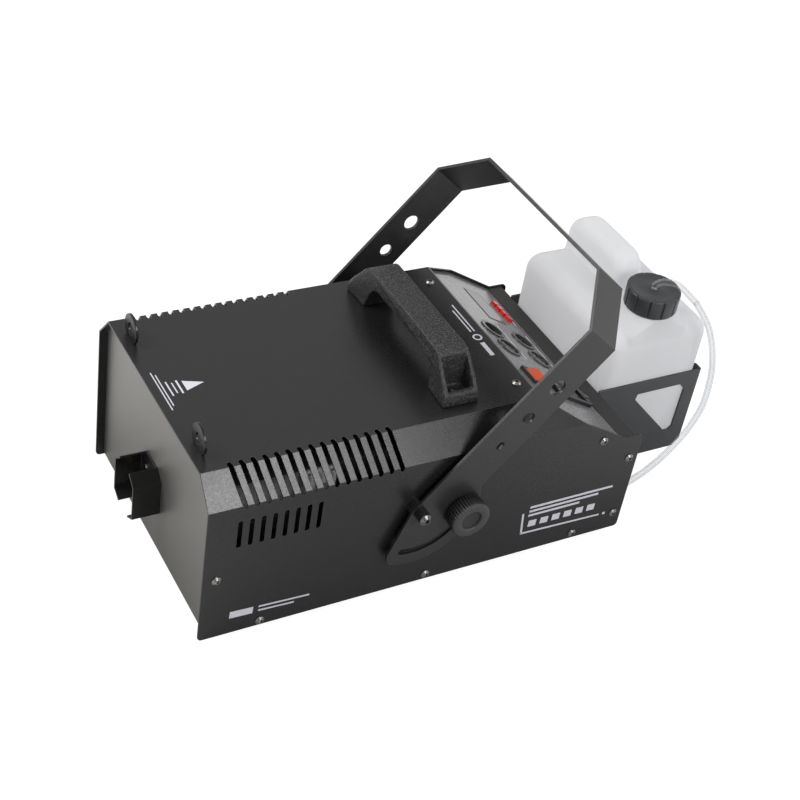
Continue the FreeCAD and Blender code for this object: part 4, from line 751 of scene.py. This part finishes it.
def coil_spring(name, wire_sides=10, steps_per_turn=28):
    height = SPRING_TOP - SPRING_BASE
    turns = height / COIL_PITCH
    steps = int(turns * steps_per_turn)
    rise = math.atan2(COIL_PITCH, 2 * math.pi * COIL_RADIUS)
    points = []
    for i in range(steps + 1):
        a = 2 * math.pi * turns * i / steps
        outward = Vector((math.cos(a), math.sin(a), 0.0))
        along = Vector((-math.sin(a), math.cos(a), 0.0))
        upward = Vector((0, 0, 1)) * math.cos(rise) - along * math.sin(rise)
        centre = at(SPRING_X + COIL_RADIUS * math.cos(a), SPRING_Y + COIL_RADIUS * math.sin(a),
                    SPRING_BASE + height * i / steps)
        for k in range(wire_sides):
            t = 2 * math.pi * k / wire_sides
            offset = (outward * math.cos(t) + upward * math.sin(t)) * WIRE_RADIUS / 1000.0
            points.append(centre + offset)
    faces = bands(steps + 1, wire_sides) + end_faces(steps + 1, wire_sides)
    return build(name, (points, faces), SPRING, sharp_angle=50.0)


spring = coil_spring("return_spring")
install(spring, "pump_spring", "chassis")
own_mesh(spring)

# ---------------------------------------------------------------- carry handle
HANDLE_Y = 240.0
# x, height above the body: the right end of the side view, from the foot up
HANDLE_OUTSIDE = [
    (92, 0), (92.2, 5.5), (90.8, 11.0), (85.8, 17.5), (79.8, 24.0), (74.5, 30.5),
    (70.0, 36.0), (66.0, 39.4), (61.0, 41.0)]
HANDLE_INSIDE = [(62.0, 0), (60.0, 8.0), (57.0, 16.0), (52.5, 22.5), (46.0, 26.0)]
# x, height above the body: side view of the hollow in the right end
RECESS_PROFILE = (
    (84.6, 4.4), (69.6, 4.4), (68.6, 38.4), (90.0, 60.0), (112.0, 60.0), (112.0, 12.4),
    (84.8, 12.4))
RECESS_ROOF_POINT = 2     # the profile point that is lowered towards the sides
# y from the middle, drop of the roof point
RECESS_SLICES = (
    (-12.3, -4.0), (-10.4, -1.6), (-6.4, -0.3), (0.0, 0.0), (6.4, -0.3), (10.4, -1.6),
    (12.3, -4.0))


def handle_half_width(x, z):
    """wider towards the ends, and flared at the foot"""
    width = 13.9 + 2.6 * min(1.0, max(0.0, (abs(x) - 50.0) / 30.0))
    if z < 10.0:
        width += 1.0 * (10.0 - z) / 10.0
    return width


def handle_bar():
    end_x, end_z = HANDLE_OUTSIDE[-1]
    inner_x = HANDLE_INSIDE[-1][0]
    top_x = [-end_x + 2 * end_x * i / 12 for i in range(1, 12)]
    top = [(x, end_z + 0.6 * math.cos(math.pi * x / (2 * end_x))) for x in top_x]
    underside = [(inner_x - 2 * inner_x * i / 8, 26.2) for i in range(1, 8)]
    outline = ([(-x, z) for x, z in HANDLE_OUTSIDE] + top + HANDLE_OUTSIDE[::-1]
               + HANDLE_INSIDE + underside + [(-x, z) for x, z in HANDLE_INSIDE[::-1]])
    points = [at(x, HANDLE_Y + side * handle_half_width(x, z), BODY_TOP + z)
              for side in (-1, 1) for x, z in outline]
    return points, end_faces(2, len(outline)) + bands(2, len(outline))


def handle_block():
    """a block in the left end of the grip"""
    y0, y1 = HANDLE_Y - 12.0, HANDLE_Y + 12.0
    return capped([[at(x, y, BODY_TOP + z)
                    for x, y in ((-75.0, y0), (-66.5, y0), (-66.5, y1), (-75.0, y1))]
                   for z in (26.0, 41.6)])


def handle_recess(side):
    """cutter for the hollow in one end; its roof is arched and a lip stays below it"""
    points = []
    for across, drop in RECESS_SLICES:
        for i, (x, z) in enumerate(RECESS_PROFILE):
            lower = drop if i == RECESS_ROOF_POINT else 0.0
            points.append(at(side * x, HANDLE_Y + across, BODY_TOP + z + lower))
    shape = len(RECESS_SLICES), len(RECESS_PROFILE)
    faces = bands(*shape) + end_faces(*shape)
    if side < 0:
        # mirroring turns the shell inside out
        faces = [face[::-1] for face in faces]
    return points, faces


handle = soft_union("carry_handle_grained", [handle_bar(), handle_block()], HANDLE,
                    voxel=0.9, rounds=5,
                    cutters=[handle_recess(1), handle_recess(-1)])
install(handle, "carry_handle", "chassis")

# ---------------------------------------------------------------- clamp knobs
STUD_Y, STUD_Z = 234.3288, 85.6169
KNOB_PROFILE = (  # distance from the middle of the machine, radius, rib depth
    (134.97, 3.1, 0), (134.97, 16.2, 0.0), (135.4, 16.9, 0.6), (136.0, 18.1, 1.5),
    (148.4, 18.3, 1.5), (149.0, 18.0, 1.2), (149.35, 17.5, 0.5), (149.55, 17.0, 0.0),
    (149.95, 16.4, 0.0), (149.95, 10.4, 0.0), (149.5, 9.7, 0.0), (148.6, 9.35, 0.0),
    (147.3, 9.2, 0.0), (147.0, 8.6, 0.0), (146.97, 0.15, 0.0), (144.5, 0.15, 0.0),
    (144.47, 3.1, 0.0))


def knob_rib(turn):
    """forty-two rounded ribs"""
    u = (turn * 42.0) % 1.0
    return 1.0 - math.sqrt(max(0.0, 1.0 - (2 * u - 1.0) ** 2))


for side, side_name in ((1, "right"), (-1, "left")):
    knob = ribbed("clamp_knob_" + side_name, KNOB_PROFILE, 504, knob_rib,
                  lambda height, u, v: at(side * height, STUD_Y + u, STUD_Z + v),
                  KNOB, sharp_angle=40.0)
    install(knob, "knob_" + side_name, side_name + "_knob")

# ---------------------------------------------------------------- printed marks
PRINT_LIFT, PRINT_SINK = 0.06, 0.05   # how far a mark stands above and reaches below its face
# a face is a pair: a function from two coordinates to a point, and the outward normal
SIDE = (lambda y, z: at(BODY_HALF_WIDTH, y, z), Vector((1, 0, 0)))
TOP = (lambda x, y: at(x, y, BODY_TOP), Vector((0, 0, 1)))
PANEL = (at_panel, PANEL_NORMAL.normalized())


def patch(face, corners):
    place, normal = face
    points = [place(*corner) for corner in corners]
    return capped([[point - normal * PRINT_SINK / 1000.0 for point in points],
                   [point + normal * PRINT_LIFT / 1000.0 for point in points]])


def bars(face, strokes):
    """strokes are (start a, start b, end a, end b, width) in the face's coordinates"""
    shells = []
    for a0, b0, a1, b1, width in strokes:
        along = Vector((a1 - a0, b1 - b0, 0)).normalized()
        half = Vector((-along.y, along.x, 0)) * width / 2.0
        shells.append(patch(face, ((a0 - half.x, b0 - half.y), (a1 - half.x, b1 - half.y),
                                   (a1 + half.x, b1 + half.y), (a0 + half.x, b0 + half.y))))
    return shells


def outline(corners, width):
    """strokes around a closed shape"""
    return [(*start, *end, width) for start, end in zip(corners, corners[1:] + corners[:1])]


def ring(x, y, outer, inner):
    """a flat ring on the top"""
    return wrapped([[at(x + radius * math.cos(math.radians(10 * k)),
                        y + radius * math.sin(math.radians(10 * k)), BODY_TOP + height)
                     for k in range(36)]
                    for radius, height in ((outer, -PRINT_SINK), (outer, PRINT_LIFT),
                                           (inner, PRINT_LIFT), (inner, -PRINT_SINK))])


def mark(name, shells, material=PRINT):
    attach(build(name, join(shells), material), "chassis")


# low on the front of the right side plate: a block and two thin lines
mark("side_mark_front", bars(SIDE, [
    (27.0, 21.2, 48.0, 20.2, 7.5), (53.0, 22.6, 100.0, 20.4, 1.8),
    (53.0, 18.0, 86.0, 16.4, 1.8)]))
# at its rear: an angled rule with a dot, three stripes and a row of blocks
rear_rule = [(309.6, 49.0, 312.4, 24.4, 2.1), (311.4, 24.2, 400.0, 21.4, 2.1),
             (404.0, 21.4, 407.0, 21.3, 2.6)]
rear_stripes = [(316.0, 55.0 - 5.0 * i, end, 55.0 - 5.0 * i, 2.6)
                for i, end in enumerate((407.0, 392.0, 372.0))]
rear_blocks = [(318.0 + 13.0 * i, 34.5, 318.0 + 13.0 * i + 8.5, 34.3, 7.5) for i in range(6)]
mark("side_mark_rear", bars(SIDE, rear_rule + rear_stripes + rear_blocks))
# on the top near the front: a triangle and rows of bars
mark("top_mark_front", [patch(TOP, ((-8.6, 28.8), (4.6, 28.8), (-2.0, 46.0)))] + bars(TOP, [
    (-10.5, 24.6, 7.0, 24.6, 1.6), (-8.5, 20.2, 5.5, 20.2, 1.1), (-11.0, 15.8, 8.0, 15.8, 1.3),
    (-22.0, 11.2, 20.0, 11.2, 1.0), (-26.0, 8.4, 25.0, 8.4, 1.0)]))
# on the top behind the handle: a ring, two rules to its left and a bar to its right
mark("top_mark_rear", [ring(10.0, 304.0, outer=4.6, inner=2.9)] + bars(TOP, [
    (-41.0, 306.0, 1.0, 306.0, 1.4), (-33.0, 302.2, 1.0, 302.2, 1.4),
    (18.5, 304.0, 38.0, 304.0, 4.4)]))
# on the control panel: rules, a cut-cornered outline with two lines, and the display's frame
mark("panel_rules", bars(PANEL, [
    (-33.0, 50.0, 22.5, 50.0, 1.7), (-35.5, 95.0, 18.5, 95.0, 1.7),
    (-63.0, 94.6, -52.5, 94.6, 1.5)]))
cut_corner = [(-104.0, 16.0), (-54.0, 16.0), (-54.0, 40.0), (-98.0, 40.0), (-104.0, 30.0)]
mark("panel_outline", bars(PANEL, outline(cut_corner, width=1.1) + [
    (-96.0, 24.0, -64.0, 24.0, 1.1), (-96.0, 31.0, -72.0, 31.0, 1.1)]), PRINT_DIM)
display = [(-97.5, 48.5), (-44.5, 48.5), (-44.5, 73.5), (-97.5, 73.5)]
mark("display_outline", bars(PANEL, outline(display, width=0.8)), LINE_DARK)


# ---------------------------------------------------------------- floor
def floor_material():
    """near white to the camera, mid grey to other rays, with a sheen seen only in mirrors"""
    sheen_hole, sheen_reach = (0.25, -0.05, 0.0), 0.35   # metres: dark spot, its radius
    body_half_x, body_half_y = 0.125, 0.280              # metres: no sheen under this block
    body_reach_squared = 0.0056
    m = Material("studio_floor")
    cloud = m.noise(2.0, rough=0.5)
    sheet = m.principled({"Base Color": m.mix(cloud, grey(0.47), grey(0.50)),
                          "Roughness": 0.8, "IOR": 1.2})
    seen = m.node("ShaderNodeBsdfDiffuse", {"Color": m.mix(cloud, grey(0.24), grey(0.26))})
    glow = m.node("ShaderNodeEmission", {"Color": grey(1), "Strength": 0.88})
    seen_sheet = m.node("ShaderNodeAddShader", {0: seen, 1: glow})
    rays = m.node("ShaderNodeLightPath", {}).outputs

    def squared(value):
        return m.calc("MULTIPLY", value, value)

    def rise(distance_squared, rate):
        """0 at no distance, growing to 1 along a bell curve"""
        bell = m.calc("POWER", 2.718, m.calc("MULTIPLY", distance_squared, rate))
        return m.calc("SUBTRACT", 1.0, bell)

    def beyond(coordinate, half):
        outside = m.calc("SUBTRACT", m.calc("ABSOLUTE", coordinate), half)
        return m.calc("MAXIMUM", outside, 0.0)

    offset = m.node("ShaderNodeVectorMath", {0: m.place, 1: sheen_hole}, operation="SUBTRACT")
    length = m.node("ShaderNodeVectorMath", {0: offset}, operation="LENGTH")
    distance = m.calc("MULTIPLY", length.outputs["Value"], 1.0 / sheen_reach)
    from_hole = rise(squared(distance), -1.0)
    axes = m.axes(m.place)
    from_body = rise(m.calc("ADD", squared(beyond(axes["X"], body_half_x)),
                            squared(beyond(axes["Y"], body_half_y))),
                     -1.0 / body_reach_squared)
    strength = m.calc("MULTIPLY", m.calc("MULTIPLY", from_hole, from_body), 0.6)
    strength = m.calc("MULTIPLY", strength, rays["Is Glossy Ray"])
    sheen = m.node("ShaderNodeEmission", {"Strength": strength})
    lit_sheet = m.node("ShaderNodeAddShader", {0: sheet, 1: sheen})
    return m.finish(m.mix_shaders(rays["Is Camera Ray"], lit_sheet, seen_sheet))


floor_square = [(-9, -9, 0), (9, -9, 0), (9, 9, 0), (-9, 9, 0)]
build("floor", (floor_square, [(0, 1, 2, 3)]), floor_material(), sharp_angle=35.0)

# ---------------------------------------------------------------- world
# brightness of the dome overhead and towards +x, -x, +y and -y
DOME = {"up": 0.80, "px": 0.40, "nx": 0.72, "py": 0.90, "ny": 0.60}


def build_world():
    """a dome of uneven brightness, seen evenly bright by the camera"""
    world = bpy.data.worlds.new("studio")
    scene.world = world
    g = Graph(world)
    axes = g.axes(g.node("ShaderNodeTexCoord", {}).outputs["Generated"])
    x, y = axes["X"], axes["Y"]
    up = g.ramp(axes["Z"], span=(0.30, 0.80), interpolation_type="SMOOTHSTEP")
    low = g.calc("SUBTRACT", 1.0, up)
    # the floor under the divisor avoids dividing by zero straight overhead
    across = g.calc("MAXIMUM", g.calc("ADD", g.calc("MULTIPLY", x, x),
                                      g.calc("MULTIPLY", y, y)), 0.0001)
    masks = {"up": up}
    for axis, value in (("x", x), ("y", y)):
        share = g.calc("DIVIDE", g.calc("MULTIPLY", value, value), across)
        for sign, test in (("p", "GREATER_THAN"), ("n", "LESS_THAN")):
            half = g.calc("MULTIPLY", share, g.calc(test, value, 0.0))
            masks[sign + axis] = g.calc("MULTIPLY", low, half)
    total = None
    for key, mask in masks.items():
        level = g.node("ShaderNodeValue", {}, name="W_" + key).outputs[0]
        level.default_value = DOME[key]
        part = g.calc("MULTIPLY", mask, level)
        total = part if total is None else g.calc("ADD", total, part)
    dome = g.node("ShaderNodeBackground", {"Strength": total})
    backdrop = g.node("ShaderNodeBackground", {"Strength": 1.0})
    camera_ray = g.node("ShaderNodeLightPath", {}).outputs["Is Camera Ray"]
    g.node("ShaderNodeOutputWorld", {"Surface": g.mix_shaders(camera_ray, dome, backdrop)})


build_world()


# ---------------------------------------------------------------- lights and camera, in metres
def softbox(name, place, target, size, watts, color):
    light = bpy.data.lights.new(name, "AREA")
    light.energy = watts
    light.color = color
    light.shape = "RECTANGLE"
    light.size = size
    light.size_y = size
    light.spread = math.radians(180)
    lamp = bpy.data.objects.new(name, light)
    scene.collection.objects.link(lamp)
    lamp.location = place
    aim = Vector(target) - Vector(place)
    lamp.rotation_euler = aim.to_track_quat("-Z", "Y").to_euler()


softbox("side_softbox", place=(1.30, 0.24, 0.98), target=(0.11, -0.16, 0.16), size=0.52,
        watts=10.0, color=(1.0, 0.985, 1.0))
softbox("front_softbox", place=(-0.55, -1.05, 1.25), target=(-0.10, -0.42, 0.0), size=0.8,
        watts=15.0, color=(1.0, 0.985, 0.96))
softbox("rear_softbox", place=(0.5, 1.6, 1.5), target=(0.0, 0.20, 0.15), size=0.9,
        watts=6.0, color=(0.98, 0.99, 1.0))

CAMERA_PLACE = (0.9370582, -0.6513003, 0.9790987)
CAMERA_AXES = (  # the directions to its right, upwards and behind it
    (0.48549904, 0.85871991, 0.16398414),
    (-0.59731132, 0.18885739, 0.77945627),
    (0.638365, -0.47637485, 0.6046132))

camera_data = bpy.data.cameras.new("camera")
camera = bpy.data.objects.new("camera", camera_data)
scene.collection.objects.link(camera)
pose = Matrix(CAMERA_AXES).transposed().to_4x4()
pose.translation = CAMERA_PLACE
camera.matrix_world = pose
camera_data.sensor_width = 36.0
camera_data.lens = 70.4144232
camera_data.shift_x = -0.0783622
camera_data.shift_y = -0.0004097
camera_data.clip_start = 0.05
scene.camera = camera
scene.view_settings.view_transform = "Standard"
